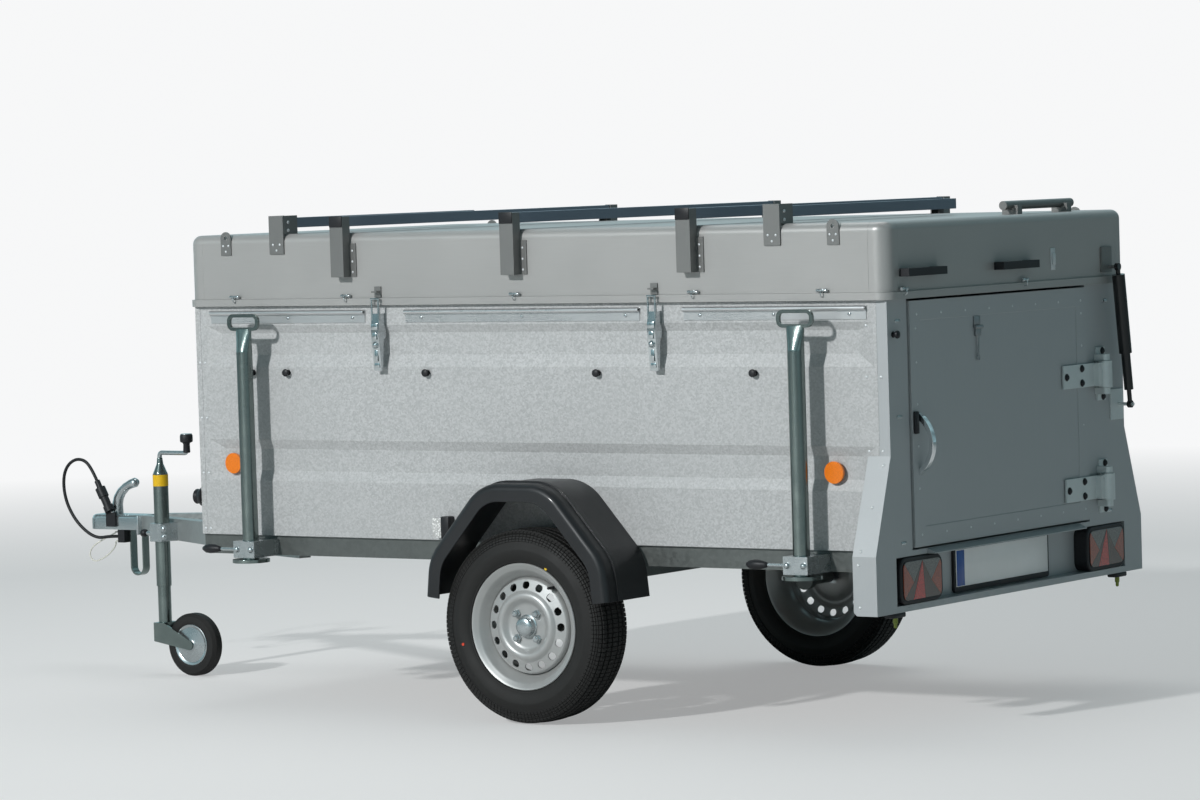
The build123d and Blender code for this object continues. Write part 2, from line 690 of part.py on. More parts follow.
def make_ears():
    ears = []
    for place in EAR_PLACES:
        x = BODY_REAR + place
        low = LID_TOP + EAR_RISE - EAR_HEIGHT
        top = LID_TOP + EAR_RISE - EAR_WIDTH / 2
        ear = box(x - EAR_WIDTH / 2, x + EAR_WIDTH / 2, LID_HALF, LID_HALF + EAR_SHEET, low, top)
        ear += rod((x, LID_HALF, top), (x, LID_HALF + EAR_SHEET, top), EAR_WIDTH)
        ear -= rod((x, LID_HALF - 1, top), (x, LID_HALF + EAR_SHEET + 1, top), EAR_HOLE_D)
        ears.append(ear)
    return both_sides(ears)


def leg_pivot():
    """The place of a leg's pivot, across and up."""
    return LID_HALF - LEG_PIVOT_IN, LID_TOP + LEG_PIVOT_UP


def make_leg_brackets():
    sheet = LEG_BRACKET_SHEET
    pivot_y, pivot_z = leg_pivot()
    brackets = []
    for place in LEG_PLACES:
        x0 = BODY_REAR + place - LEG_BRACKET_WIDTH / 2
        x1 = x0 + LEG_BRACKET_WIDTH
        high = LID_TOP + LEG_BRACKET_RISE
        web = box(x0, x1, LID_HALF, LID_HALF + sheet, LID_TOP - LEG_BRACKET_DROP, high)
        cheek = box(x0, x0 + sheet, LID_HALF + sheet - LEG_BRACKET_REACH, LID_HALF, LID_TOP, high)
        other = box(x1 - sheet, x1, LID_HALF + sheet - LEG_BRACKET_REACH, LID_HALF, LID_TOP, high)
        pin = rod((x0, pivot_y, pivot_z), (x1, pivot_y, pivot_z), LEG_PIN_D)
        brackets.append(web + cheek + other + pin)
    return brackets


def make_legs():
    pivot_y, pivot_z = leg_pivot()
    half = LEG_SIDE / 2
    for name, place in zip(("leg_rear", "leg_front"), LEG_PLACES):
        x = BODY_REAR + place
        leg = box(x - half, x + half, pivot_y - LEG_LENGTH, pivot_y, pivot_z - half, pivot_z + half)
        leg += rod((x - half, pivot_y, pivot_z), (x + half, pivot_y, pivot_z), LEG_SIDE)
        hole = LEG_PIN_D + 2 * RUN_CLEAR
        leg -= rod((x - LEG_SIDE, pivot_y, pivot_z), (x + LEG_SIDE, pivot_y, pivot_z), hole)
        node(name, leg)


def make_grab_bar():
    x = LID_REAR + GRAB_IN
    z = LID_TOP + GRAB_ROD_D
    bar = rod((x, GRAB_Y[0], z), (x, GRAB_Y[1], z), GRAB_ROD_D)
    inset = 2 * GRAB_ROD_D
    for y in (GRAB_Y[0] + inset, GRAB_Y[1] - inset):
        bar += box(x - GRAB_ROD_D, x + GRAB_ROD_D, y - GRAB_ROD_D / 2, y + GRAB_ROD_D / 2, LID_TOP, z)
    return bar


def make_strut():
    x = BODY_REAR - STRUT_AXIS_OUT
    pin_end = x + STRUT_EYE_THICK / 2
    pad = 3 * STRUT_PIN_D
    upper = box(LID_REAR - DOOR_LEAF_THICK, LID_REAR, STRUT_UPPER_Y - pad / 2, STRUT_UPPER_Y + 1.5 * pad,
                STRUT_UPPER_Z - pad / 2, STRUT_UPPER_Z + 2 * pad)
    upper += rod((LID_REAR, STRUT_UPPER_Y, STRUT_UPPER_Z), (pin_end + RUN_CLEAR, STRUT_UPPER_Y, STRUT_UPPER_Z),
                 STRUT_PIN_D)
    lower = box(BODY_REAR - DOOR_LEAF_THICK, BODY_REAR, STRUT_LOWER_Y - pad, STRUT_LOWER_Y + 1.5 * pad,
                STRUT_LOWER_Z - 1.5 * pad, STRUT_LOWER_Z + 1.5 * pad)
    lower += rod((BODY_REAR, STRUT_LOWER_Y, STRUT_LOWER_Z), (x - STRUT_EYE_THICK, STRUT_LOWER_Y, STRUT_LOWER_Z),
                 STRUT_PIN_D)
    low = Vector(x, STRUT_LOWER_Y, STRUT_LOWER_Z)
    high = Vector(x, STRUT_UPPER_Y, STRUT_UPPER_Z)
    along = (high - low).normalized()
    half = STRUT_EYE_THICK / 2
    sleeve_end = high - along * (STRUT_EYE_D / 2 + 2)
    joined = along * (STRUT_EYE_D / 2 - 2)
    strut = rod(tuple(low + joined), tuple(high - joined), STRUT_TUBE_D * 0.5)
    strut += rod(tuple(low + along * 2 * STRUT_EYE_D), tuple(sleeve_end - along * STRUT_SLEEVE_LENGTH), STRUT_TUBE_D)
    strut += rod(tuple(sleeve_end - along * STRUT_SLEEVE_LENGTH), tuple(sleeve_end - along * STRUT_PIN_D), STRUT_SLEEVE_D)
    for spot in (low, high):
        eye_y, eye_z = spot.Y, spot.Z
        strut += rod((x - half, eye_y, eye_z), (x + half, eye_y, eye_z), STRUT_EYE_D)
    bore = STRUT_PIN_D + 2 * RUN_CLEAR
    strut -= rod((x - STRUT_SLEEVE_D, low.Y, low.Z), (x + STRUT_SLEEVE_D, low.Y, low.Z), bore)
    node("gas_strut", strut)
    return upper, lower


def make_lid_hinges():
    """Body leaves with outer barrels and pins, lid leaves with the middle barrel."""
    third = HINGE_LENGTH / 3
    side_gap = 2 * RUN_CLEAR
    body_leaves = []
    lid_leaves = []
    for place in HINGE_PLACES:
        x0 = BODY_REAR + place
        x1 = x0 + HINGE_LENGTH
        plate = box(x0, x1, -HALF - HINGE_PLATE, -HALF, BODY_TOP - HINGE_PLATE_HEIGHT - HINGE_DROP,
                    BODY_TOP - HINGE_DROP)
        for a, b in ((x0, x0 + third), (x1 - third, x1)):
            arm = prism_x(
                [
                    (-HALF, BODY_TOP - HINGE_ARM[0]), (-HALF, BODY_TOP - HINGE_ARM[1]),
                    (HINGE_Y - HINGE_PLATE, BODY_TOP - HINGE_PLATE),
                    (HINGE_Y + HINGE_PLATE, BODY_TOP + HINGE_PLATE),
                ],
                a, b,
            )
            plate += arm + rod((a, HINGE_Y, BODY_TOP), (b, HINGE_Y, BODY_TOP), HINGE_BARREL_D)
        plate += rod((x0, HINGE_Y, BODY_TOP), (x1, HINGE_Y, BODY_TOP), HINGE_PIN_D)
        body_leaves.append(plate)
        a, b = x0 + third + side_gap, x1 - third - side_gap
        low = LID_BOTTOM + RIM_HEIGHT + HINGE_LEAF_UP
        high = LID_BOTTOM + RIM_HEIGHT + HINGE_LEAF_UP / 3 + HINGE_PLATE_HEIGHT
        leaf = box(x0, x1, -LID_HALF - HINGE_PLATE, -LID_HALF, low, high)
        leaf += prism_x(
            [
                (-LID_HALF, low), (-LID_HALF, low + HINGE_NECK), (HINGE_Y - HINGE_PLATE, BODY_TOP + HINGE_PLATE),
                (HINGE_Y + HINGE_PLATE, BODY_TOP - HINGE_PLATE),
            ],
            a, b,
        )
        leaf += rod((a, HINGE_Y, BODY_TOP), (b, HINGE_Y, BODY_TOP), HINGE_BARREL_D)
        leaf -= rod((a - 1, HINGE_Y, BODY_TOP), (b + 1, HINGE_Y, BODY_TOP), HINGE_PIN_D + 2 * RUN_CLEAR)
        leaf -= rounded_block(RIM_OVERHANG - LID_OVERHANG, LID_BOTTOM, LID_BOTTOM + RIM_HEIGHT, LID_CORNER_R, 0)
        lid_leaves.append(leaf)
    node("body_hinge_leaves", body_leaves)
    node("lid_hinge_leaves", lid_leaves)


def make_lid_handles():
    handles = []
    for y in LID_HANDLE_Y:
        z = LID_BOTTOM + LID_HANDLE_UP
        half = LID_HANDLE_LENGTH / 2
        reach = LID_REAR - LID_HANDLE_REACH
        bar = box(reach, reach + LID_HANDLE_THICK, y - half, y + half, z, z + LID_HANDLE_BAR)
        for side in (-1, 1):
            foot = y + side * (half - LID_HANDLE_BAR)
            bar += box(reach, LID_REAR, foot - LID_HANDLE_BAR, foot + LID_HANDLE_BAR, z, z + LID_HANDLE_BAR)
        handles.append(bar)
    node("lid_handles", handles)


# Tail door


def make_door():
    rear = BODY_REAR - DOOR_PROUD
    low, high = BODY_BOTTOM - 3 + DOOR_GAP, BODY_TOP - DOOR_GAP
    left, right = DOOR_LEFT - DOOR_GAP, DOOR_RIGHT + DOOR_GAP
    panel = box(rear, rear + DOOR_THICK, right, left, low, high)
    strip = box(rear - DOOR_STRIP_THICK, rear, right, left, low, high)
    strip -= box(rear - DOOR_STRIP_THICK - 1, rear + 1, right + DOOR_STRIP, left - DOOR_STRIP,
                 low + DOOR_STRIP, high - DOOR_STRIP)
    node("door_panel", panel + strip)
    face = rear - DOOR_STRIP_THICK
    z0, z1 = DOOR_HANDLE_Z
    reach = face - DOOR_HANDLE_REACH
    middle = (z0 + z1) / 2
    foot = DOOR_HANDLE_FOOT
    outer = ThreePointArc((face, z0), (reach, middle), (face, z1))
    inner = ThreePointArc((face, z1 - foot), (reach + DOOR_HANDLE_THICK, middle), (face, z0 + foot))
    crescent = make_face([outer, Line((face, z1), (face, z1 - foot)), inner, Line((face, z0 + foot), (face, z0))])
    plane = Plane(origin=(0, DOOR_HANDLE_Y, 0), x_dir=(1, 0, 0), z_dir=(0, -1, 0))
    node("door_handle", extrude(plane * crescent, DOOR_HANDLE_WIDTH / 2, both=True))


def make_door_hinges():
    """Post leaves with lugs and pin, door leaves with the knuckle block."""
    x = BODY_REAR - DOOR_PIN_OUT
    face = BODY_REAR - DOOR_PROUD - DOOR_STRIP_THICK
    half = DOOR_KNUCKLE_HEIGHT / 2
    lug = (DOOR_POST_LEAF_HEIGHT - DOOR_KNUCKLE_HEIGHT) / 4
    gap = 3 * RUN_CLEAR
    post_leaves = []
    door_leaves = []
    for z in DOOR_HINGE_HEIGHTS:
        tall = DOOR_POST_LEAF_HEIGHT / 2
        leaf = box(BODY_REAR - DOOR_LEAF_THICK, BODY_REAR, DOOR_PIN_Y - 3 * DOOR_PIN_D, DOOR_PIN_Y + DOOR_PIN_D / 2,
                   z - tall, z + tall)
        for low, high in ((z - half - lug, z - half - gap), (z + half + gap, z + half + lug)):
            leaf += box(x, BODY_REAR, DOOR_PIN_Y - DOOR_PIN_D, DOOR_PIN_Y + DOOR_PIN_D, low, high)
            leaf += rod((x, DOOR_PIN_Y, low), (x, DOOR_PIN_Y, high), 2 * DOOR_PIN_D)
        leaf += rod((x, DOOR_PIN_Y, z - half - lug), (x, DOOR_PIN_Y, z + half + lug), DOOR_PIN_D)
        post_leaves.append(leaf)
        knuckle = rod((x, DOOR_PIN_Y, z - half), (x, DOOR_PIN_Y, z + half), DOOR_KNUCKLE_D)
        plate_half = DOOR_LEAF_HEIGHT / 2
        end = DOOR_PIN_Y + DOOR_LEAF_REACH
        strap = box(face - DOOR_LEAF_THICK, face, DOOR_PIN_Y + DOOR_KNUCKLE_D / 2, end, z - plate_half, z + plate_half)
        neck = box(x, face, DOOR_PIN_Y + DOOR_PIN_D, DOOR_PIN_Y + DOOR_KNUCKLE_D, z - plate_half, z + plate_half)
        knuckle = knuckle + strap + neck
        knuckle -= rod((x, DOOR_PIN_Y, z - tall), (x, DOOR_PIN_Y, z + tall), DOOR_PIN_D + 2 * RUN_CLEAR)
        door_leaves.append(knuckle)
    node("door_hinge_leaves", door_leaves)
    return post_leaves


# Wall fittings


def make_awning_rails():
    top = BODY_TOP - AWNING_DROP + AWNING_HEIGHT
    radius = AWNING_BEAD_D / 2
    rails = []
    for start, end in AWNING_SPANS:
        x0, x1 = BODY_REAR + start, BODY_REAR + end
        rail = box(x0, x1, HALF, HALF + AWNING_SHEET, top - AWNING_HEIGHT, top)
        bead_y, bead_z = HALF + radius, top - radius
        rail += rod((x0, bead_y, bead_z), (x1, bead_y, bead_z), AWNING_BEAD_D)
        rail -= rod((x0 - 1, bead_y, bead_z), (x1 + 1, bead_y, bead_z), AWNING_BEAD_D / 2)
        rails.append(rail)
    node("awning_rails", rails)


def make_latches():
    """Toggle latches of the left wall, and the keepers above them on the lid."""
    low, high = LATCH_LEVER
    y = HALF + LATCH_OUT
    loop_top = LID_BOTTOM + LATCH_KEEPER_UP - 3 * LATCH_ROD
    half = LATCH_WIDTH / 2
    latches = []
    keepers = []
    for place in LATCH_PLACES:
        x = BODY_REAR + place
        lever = prism_x(
            [(HALF, high - 50), (HALF, high + 20), (y, high + 20), (y + 6, high - 40), (y - 4, low),
             (y - 12, low), (HALF + 12, high - 60)],
            x - half * 0.7, x + half * 0.7,
        )
        for side in (-1, 1):
            foot = x + side * half * 0.6
            lever += rod((foot, y, high), (foot, y, loop_top), LATCH_ROD)
        lever += rod((x - half * 0.8, y, loop_top), (x + half * 0.8, y, loop_top), LATCH_ROD)
        latches.append(lever)
        z = LID_BOTTOM + LATCH_KEEPER_UP
        keeper = box(x - half * 0.6, x + half * 0.6, LID_HALF, LID_HALF + 4, z - 14, z + 18)
        keeper += box(x - half * 0.5, x + half * 0.5, LID_HALF, y + 4, z, z + 5)
        keepers.append(keeper)
    node("toggle_latches", latches)
    return keepers


def make_markers():
    discs = []
    for place in REFLECTOR_PLACES:
        x = BODY_REAR + place
        disc = rod((x, HALF, REFLECTOR_Z), (x, HALF + REFLECTOR_THICK, REFLECTOR_Z), REFLECTOR_D)
        disc += rod((x, HALF - GROOVE_DEPTH, REFLECTOR_Z), (x, HALF, REFLECTOR_Z), REFLECTOR_FOOT_D)
        discs.append(disc)
    node("side_reflectors", both_sides(discs))
    x = BODY_REAR + MARKER_PLACE
    half = MARKER_SIDE / 2
    lamp = box(x - half, x + half, HALF, HALF + MARKER_SIDE / 2, MARKER_Z - half, MARKER_Z + half)
    node("front_markers", both_sides([lamp]))


# Drop stands


def loop_handle(x, z, y):
    """A flat ring of round bar, standing on the stand's top."""
    outer = RectangleRounded(STAND_LOOP_LENGTH, STAND_LOOP_HEIGHT, STAND_LOOP_HEIGHT * 0.42)
    bar = STAND_LOOP_ROD
    inner = RectangleRounded(STAND_LOOP_LENGTH - 2 * bar, STAND_LOOP_HEIGHT - 2 * bar, STAND_LOOP_HEIGHT * 0.42 - bar)
    plane = Plane(origin=(x, y + bar / 2, z), x_dir=(1, 0, 0), z_dir=(0, -1, 0))
    return extrude(plane * (outer - inner), bar)


def make_stands():
    tube_top = STAND_TOP - STAND_LOOP_HEIGHT + STAND_LOOP_ROD / 2
    clamps = []
    for place, end in zip(STAND_PLACES, ("rear", "front")):
        x = BODY_REAR + place
        low = STAND_FOOT_Z
        stand = rod((x, STAND_Y, low), (x, STAND_Y, low + STAND_FOOT_THICK), STAND_FOOT_D)
        stand += rod((x, STAND_Y, low), (x, STAND_Y, tube_top - STAND_PINCH), STAND_D)
        stand += loft([Plane(origin=(x, STAND_Y, tube_top - STAND_PINCH)) * Circle(STAND_D / 2),
                       Plane(origin=(x, STAND_Y, tube_top)) * Ellipse(STAND_D * 0.62, STAND_LOOP_ROD * 0.8)])
        stand += loop_handle(x, STAND_TOP - STAND_LOOP_HEIGHT / 2, STAND_Y)
        node(f"stand_{end}_left", stand)
        node(f"stand_{end}_right", mirrored(stand))
        bottom = low + STAND_FOOT_THICK + 5
        half = STAND_CLAMP_WIDTH / 2
        outer = STAND_Y + STAND_D / 2 + STAND_CLAMP_WALL
        clamp = box(x - half, x + half, RAIL_OUTER, outer, bottom, bottom + STAND_CLAMP_HEIGHT)
        clamp -= rod((x, STAND_Y, bottom - 1), (x, STAND_Y, bottom + STAND_CLAMP_HEIGHT + 1),
                     STAND_D + 2 * STAND_CLEAR)
        lever_y, lever_z = outer - STAND_CLAMP_WALL, bottom + STAND_CLAMP_HEIGHT / 2
        clamp += rod((x + half, lever_y, lever_z), (x + half + STAND_LEVER, lever_y, lever_z), STAND_LOOP_ROD)
        clamps.append(clamp)
    node("stand_clamps", both_sides(clamps))


# Drawbar, coupling and jockey wheel


def make_drawbar():
    front = BODY_REAR + NOSE_X - COUPLING_LENGTH
    rear = BODY_REAR + DRAWBAR_REAR
    run = front - rear
    rise = DRAWBAR_REAR_Y - DRAWBAR_FRONT_Y
    length = math.hypot(run, rise)
    wall = (front - BODY_FRONT) * length / run
    low = COUPLING_TOP - DRAWBAR_FRONT_HEIGHT
    deep = CROSS_BOTTOM - DRAWBAR_DEPTH
    profile = [
        (0, COUPLING_TOP), (wall - 60, COUPLING_TOP), (wall - 10, CROSS_BOTTOM), (length, CROSS_BOTTOM),
        (length, deep), (wall, deep), (0, low),
    ]
    plane = Plane(origin=(front, DRAWBAR_FRONT_Y, 0), x_dir=(-run, rise, 0), z_dir=(rise, run, 0))
    side = make_face(Polyline(*[(s, z) for s, z in profile], close=True))
    arm = extrude(plane * side, DRAWBAR_WIDTH / 2, both=True)
    arm &= box(rear - BODY_LENGTH, front, 0, BODY_WIDTH, 0, BODY_TOP)
    node("drawbar_arms", arm + mirrored(arm))


def make_coupling():
    nose = BODY_REAR + NOSE_X
    rear = nose - COUPLING_LENGTH
    half = COUPLING_WIDTH / 2
    head = box(rear, nose, -half, half, COUPLING_BOTTOM, COUPLING_TOP)
    head = fillet(head.edges().filter_by(Axis.Z).group_by(Axis.X)[-1], half * 0.8)
    head = fillet(head.faces().sort_by(Axis.Z)[-1].edges().group_by(Axis.X)[-1], 10)
    flange = DRAWBAR_FRONT_Y + DRAWBAR_WIDTH
    head += box(rear, rear + HOLDER_SHEET, -flange, flange, COUPLING_TOP - DRAWBAR_FRONT_HEIGHT, COUPLING_TOP)
    ball = nose - BALL_FROM_NOSE
    head -= rod((ball, 0, COUPLING_BOTTOM - 1), (ball, 0, COUPLING_BOTTOM + BALL_D * 0.7), BALL_D)
    node("coupling_head", head)
    x = nose - LEVER_BACK
    top = COUPLING_TOP
    lever = prism_y(
        [(x, top), (x - LEVER_FOOT, top), (x - 1.1 * LEVER_FOOT, top + 0.85 * LEVER_FOOT),
         (x - LEVER_LENGTH + 1.1 * LEVER_FOOT, top + LEVER_RISE - 1.2 * LEVER_GRIP),
         (x - LEVER_LENGTH, top + LEVER_RISE - LEVER_GRIP), (x - LEVER_LENGTH, top + LEVER_RISE),
         (x - LEVER_LENGTH + LEVER_FOOT, top + LEVER_RISE), (x - 0.4 * LEVER_FOOT, top + 1.35 * LEVER_FOOT)],
        -LEVER_WIDTH / 2, LEVER_WIDTH / 2,
    )
    upper = [edge for edge in lever.edges() if edge.center().Z > top + 1]
    node("coupling_lever", fillet(upper, LEVER_WIDTH * 0.22))
    x = nose - HOOP_BACK
    half = HOOP_WIDTH / 2 - HOOP_ROD / 2
    bottom = HOOP_BOTTOM + HOOP_ROD / 2
    path = FilletPolyline((x - half, 0, COUPLING_BOTTOM), (x - half, 0, bottom), (x + half, 0, bottom),
                          (x + half, 0, COUPLING_BOTTOM), radius=half * 0.9)
    hoop = sweep(Plane(origin=path @ 0, z_dir=path % 0) * Circle(HOOP_ROD / 2), path=path)
    node("drawbar_hoop", hoop)


def make_jockey():
    x, y = BODY_REAR + JOCKEY_X, JOCKEY_Y
    outer, inner = JOCKEY_OUTER_D / 2, JOCKEY_INNER_D / 2
    bore = inner + JOCKEY_CLEAR
    profile = [
        (bore, JOCKEY_OUTER_END), (outer, JOCKEY_OUTER_END), (outer, JOCKEY_TOP), (outer * 0.45, JOCKEY_CONE_TOP - 20),
        (outer * 0.35, JOCKEY_CONE_TOP), (0, JOCKEY_CONE_TOP), (0, JOCKEY_TOP - 10), (bore, JOCKEY_TOP - 20),
    ]
    plane = Plane(origin=(x, y, 0), x_dir=(1, 0, 0), z_dir=(0, -1, 0))
    axis = Axis((x, y, 0), (0, 0, 1))
    tube = revolve(plane * make_face(Polyline(*profile, close=True)), axis)
    node("jockey_outer_tube", tube)
    z = JOCKEY_CRANK_Z
    arm_d = outer * 0.6
    reach = x - JOCKEY_CRANK_LENGTH
    knob_low = JOCKEY_KNOB_TOP - JOCKEY_KNOB_HEIGHT
    path = FilletPolyline((x, y, JOCKEY_CONE_TOP), (x, y, z), (reach, y, z), (reach, y, knob_low), radius=arm_d * 0.7)
    crank = sweep(Plane(origin=path @ 0, z_dir=path % 0) * Circle(arm_d / 2), path=path)
    crank += rod((reach, y, knob_low), (reach, y, JOCKEY_KNOB_TOP), JOCKEY_KNOB_D)
    node("jockey_crank", crank)
    low, high = JOCKEY_CLAMP_Z
    slope = (DRAWBAR_REAR_Y - DRAWBAR_FRONT_Y) / (NOSE_X - COUPLING_LENGTH - DRAWBAR_REAR)
    half = JOCKEY_OUTER_D
    seat = DRAWBAR_FRONT_Y + (NOSE_X - COUPLING_LENGTH - JOCKEY_X) * slope
    across = DRAWBAR_WIDTH / 2 * math.hypot(1, slope)
    clamp = extrude(Plane.XY.offset(low) * make_face(Polyline(
        (x - half, seat + half * slope + across), (x + half, seat - half * slope + across),
        (x + outer + 10, y), (x + outer, y + outer + 10), (x - outer, y + outer + 10), (x - outer - 10, y),
        close=True)), high - low)
    clamp -= rod((x, y, low - 1), (x, y, high + 1), JOCKEY_OUTER_D)
    node("jockey_clamp", clamp)

    spindle = rod((x, y, JOCKEY_FORK_TOP + JOCKEY_SPINDLE_LOW), (x, y, JOCKEY_OUTER_END + JOCKEY_SPINDLE_RISE),
                  inner * 0.8)
    node("jockey_spindle", spindle)
    leg_top = JOCKEY_OUTER_END + JOCKEY_LEG_RISE
    collar = inner * 0.4 + JOCKEY_CLEAR
    leg_profile = [
        (inner - JOCKEY_SHEET, JOCKEY_FORK_TOP), (inner, JOCKEY_FORK_TOP), (inner, leg_top), (collar, leg_top),
        (collar, leg_top - JOCKEY_CAP), (inner - JOCKEY_SHEET, leg_top - JOCKEY_CAP),
    ]
    leg = revolve(plane * make_face(Polyline(*leg_profile, close=True)), axis)
    radius = JOCKEY_WHEEL_D / 2
    hub_x = x - JOCKEY_TRAIL
    half = JOCKEY_WHEEL_WIDTH / 2 + 4
    outside = half + JOCKEY_CHEEK
    crown = box(x - inner, x + inner, y - outside, y + outside, JOCKEY_FORK_TOP - JOCKEY_CROWN, JOCKEY_FORK_TOP)
    leg += crown
    for side in (-1, 1):
        cheek = prism_y(
            [(x + inner, JOCKEY_FORK_TOP - JOCKEY_CHEEK_DROP), (x + inner, JOCKEY_FORK_TOP), (x - inner, JOCKEY_FORK_TOP),
             (hub_x, radius + JOCKEY_CHEEK_END), (hub_x, radius - JOCKEY_CHEEK_END)],
            y + side * half, y + side * outside,
        )
        leg += cheek + rod((hub_x, y + side * half, radius), (hub_x, y + side * outside, radius), 2 * JOCKEY_CHEEK_END)
    axle_d = JOCKEY_AXLE_D
    leg += rod((hub_x, y - outside, radius), (hub_x, y + outside, radius), axle_d)
    leg -= rod((hub_x, y - half + 1.5, radius), (hub_x, y + half - 1.5, radius), 2 * radius + 8) - rod(
        (hub_x, y - half, radius), (hub_x, y + half, radius), axle_d)
    node("jockey_leg", leg)
    width = JOCKEY_WHEEL_WIDTH / 2
    wheel_profile = [
        (axle_d / 2 + RUN_CLEAR, -width), (axle_d / 2 + 10, -width), (radius * 0.6, 6 - width), (radius - 30, -width),
        (radius - 10, 2 - width), (radius, 12 - width), (radius, width - 12), (radius - 10, width - 2),
        (radius - 30, width), (radius * 0.6, width - 6), (axle_d / 2 + 10, width), (axle_d / 2 + RUN_CLEAR, width),
    ]
    node("jockey_wheel", Pos(0, y, 0) * revolved(wheel_profile, hub_x, radius))


# Parked plug and the two cables at the nose


def cord_path(points):
    """Straight runs joined by arcs as large as the runs allow."""
    radii = []
    for a, b, c in zip(points, points[1:], points[2:]):
        into = Vector(*b) - Vector(*a)
        out = Vector(*c) - Vector(*b)
        turn = math.radians(into.get_angle(out))
        radii.append(0.45 * min(into.length, out.length) / math.tan(turn / 2))
    return FilletPolyline(*points, radius=radii)


def cord_tube(points, diameter):
    path = cord_path(points)
    section = Plane(origin=path @ 0, z_dir=path % 0) * Circle(diameter / 2)
    tube = sweep(section, path=path)
    return tube


def make_nose_cables():
    nose = BODY_REAR + NOSE_X
    tilt = math.radians(PLUG_TILT)
    socket = Vector(nose - PLUG_BACK, PLUG_Y, COUPLING_TOP + PLUG_LIFT)
    along = Vector(math.sin(tilt), 0, math.cos(tilt))
    end = socket + along * PLUG_LENGTH
    seat = socket + along * (PLUG_LENGTH * 0.35)
    plug = rod(tuple(socket), tuple(seat), PLUG_D * 0.8) + rod(tuple(seat), tuple(end - along * 26), PLUG_D)
    plug += rod(tuple(end - along * 26), tuple(end), PLUG_D * 0.55)
    node("plug", plug)
    base = nose - PLUG_BACK
    half = COUPLING_WIDTH / 2
    holder = box(base - 30, base + 10, half, half + HOLDER_SHEET, COUPLING_BOTTOM + 10, COUPLING_TOP + 6)
    holder += rod(tuple(socket - along * 20), tuple(socket), PLUG_D)
    clip_x = nose - CLIP_BACK
    clip = box(clip_x - CLIP_LENGTH, clip_x, 4, half, COUPLING_BOTTOM - CLIP_DROP, COUPLING_BOTTOM)
    node("plug_holder", [holder, clip])
    leave = end + along * 40
    # columns: forward of the nose, across, up
    cable = [
        (end.X - nose, end.Y, end.Z), (leave.X - nose, leave.Y, leave.Z), (-3, 41, 675), (43, 43, 676), (81, 45, 643),
        (90, 46, 587), (75, 46, 524), (31, 44, 461), (-32, 34, 416), (-88, 20, 424), (-CLIP_BACK, 20, 424),
    ]
    node("plug_cable", cord_tube([(nose + x, y, z) for x, y, z in cable], CABLE_D))
    breakaway = [
        (-CLIP_BACK, 10, 438), (-98, 10, 438), (-70, -24, 431), (-34, -38, 420), (8, -38, 402), (46, -36, 382),
        (58, -34, 354), (38, -33, 332), (2, -34, 342), (-36, -36, 364), (-72, -22, 392), (-98, 10, 410),
        (-CLIP_BACK, 10, 410),
    ]
    node("breakaway_cable", cord_tube([(nose + x, y, z) for x, y, z in breakaway], BREAKAWAY_D))


make_body()
make_tail_frame()
make_tail_lamps()
make_chassis()
make_axle()
make_wheels()
make_covers()
make_lid_shell()
upper_mount, lower_mount = make_strut()
keepers = make_latches()
lid_fittings = make_roof_bars() + make_ears() + make_leg_brackets() + [make_grab_bar(), upper_mount] + keepers
node("lid_brackets", lid_fittings)
make_legs()
make_lid_hinges()
make_lid_handles()
make_door()
node("rear_post_fittings", make_door_hinges() + [lower_mount])
make_awning_rails()
make_markers()
make_stands()
make_drawbar()
make_coupling()
make_jockey()
make_nose_cables()

for name, shapes in NODES.items():
    solids = [solid for shape in shapes for solid in shape.solids()]
    export_step(Compound(solids), os.path.join("parts", name + ".step"))
print(len(NODES), "nodes")
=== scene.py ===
"""Looks of the box camper trailer: its finishes, fasteners, lenses, tyres and cables.

It stands on a pale floor, with a low sun on its left side and cool light in the shade.

The frame has +X forward to the coupling, +Y to the trailer's left and +Z up, in metres.
"""

import json
import math

import bmesh
import bpy
from mathutils import Matrix, Vector

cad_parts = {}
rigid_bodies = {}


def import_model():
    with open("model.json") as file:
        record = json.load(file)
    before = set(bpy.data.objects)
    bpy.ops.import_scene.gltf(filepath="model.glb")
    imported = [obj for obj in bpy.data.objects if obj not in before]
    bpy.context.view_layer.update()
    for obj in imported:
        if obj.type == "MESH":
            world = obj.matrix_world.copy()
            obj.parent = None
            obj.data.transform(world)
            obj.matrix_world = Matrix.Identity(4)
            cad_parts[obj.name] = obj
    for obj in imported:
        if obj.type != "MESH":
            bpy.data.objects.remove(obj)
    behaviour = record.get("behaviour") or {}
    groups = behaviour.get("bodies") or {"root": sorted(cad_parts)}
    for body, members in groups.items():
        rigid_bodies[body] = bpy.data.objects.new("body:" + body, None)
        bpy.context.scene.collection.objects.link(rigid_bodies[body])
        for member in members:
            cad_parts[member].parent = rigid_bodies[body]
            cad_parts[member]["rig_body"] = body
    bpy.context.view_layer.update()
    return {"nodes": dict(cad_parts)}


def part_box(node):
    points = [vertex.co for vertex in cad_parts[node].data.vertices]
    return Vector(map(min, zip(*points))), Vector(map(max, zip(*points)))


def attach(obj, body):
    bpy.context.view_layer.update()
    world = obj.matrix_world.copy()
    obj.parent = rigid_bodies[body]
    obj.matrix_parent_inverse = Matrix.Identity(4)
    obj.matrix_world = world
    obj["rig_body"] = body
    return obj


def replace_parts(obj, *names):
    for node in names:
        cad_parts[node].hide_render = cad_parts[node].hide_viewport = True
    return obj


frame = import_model()
bpy.context.scene.view_settings.view_transform = "Standard"

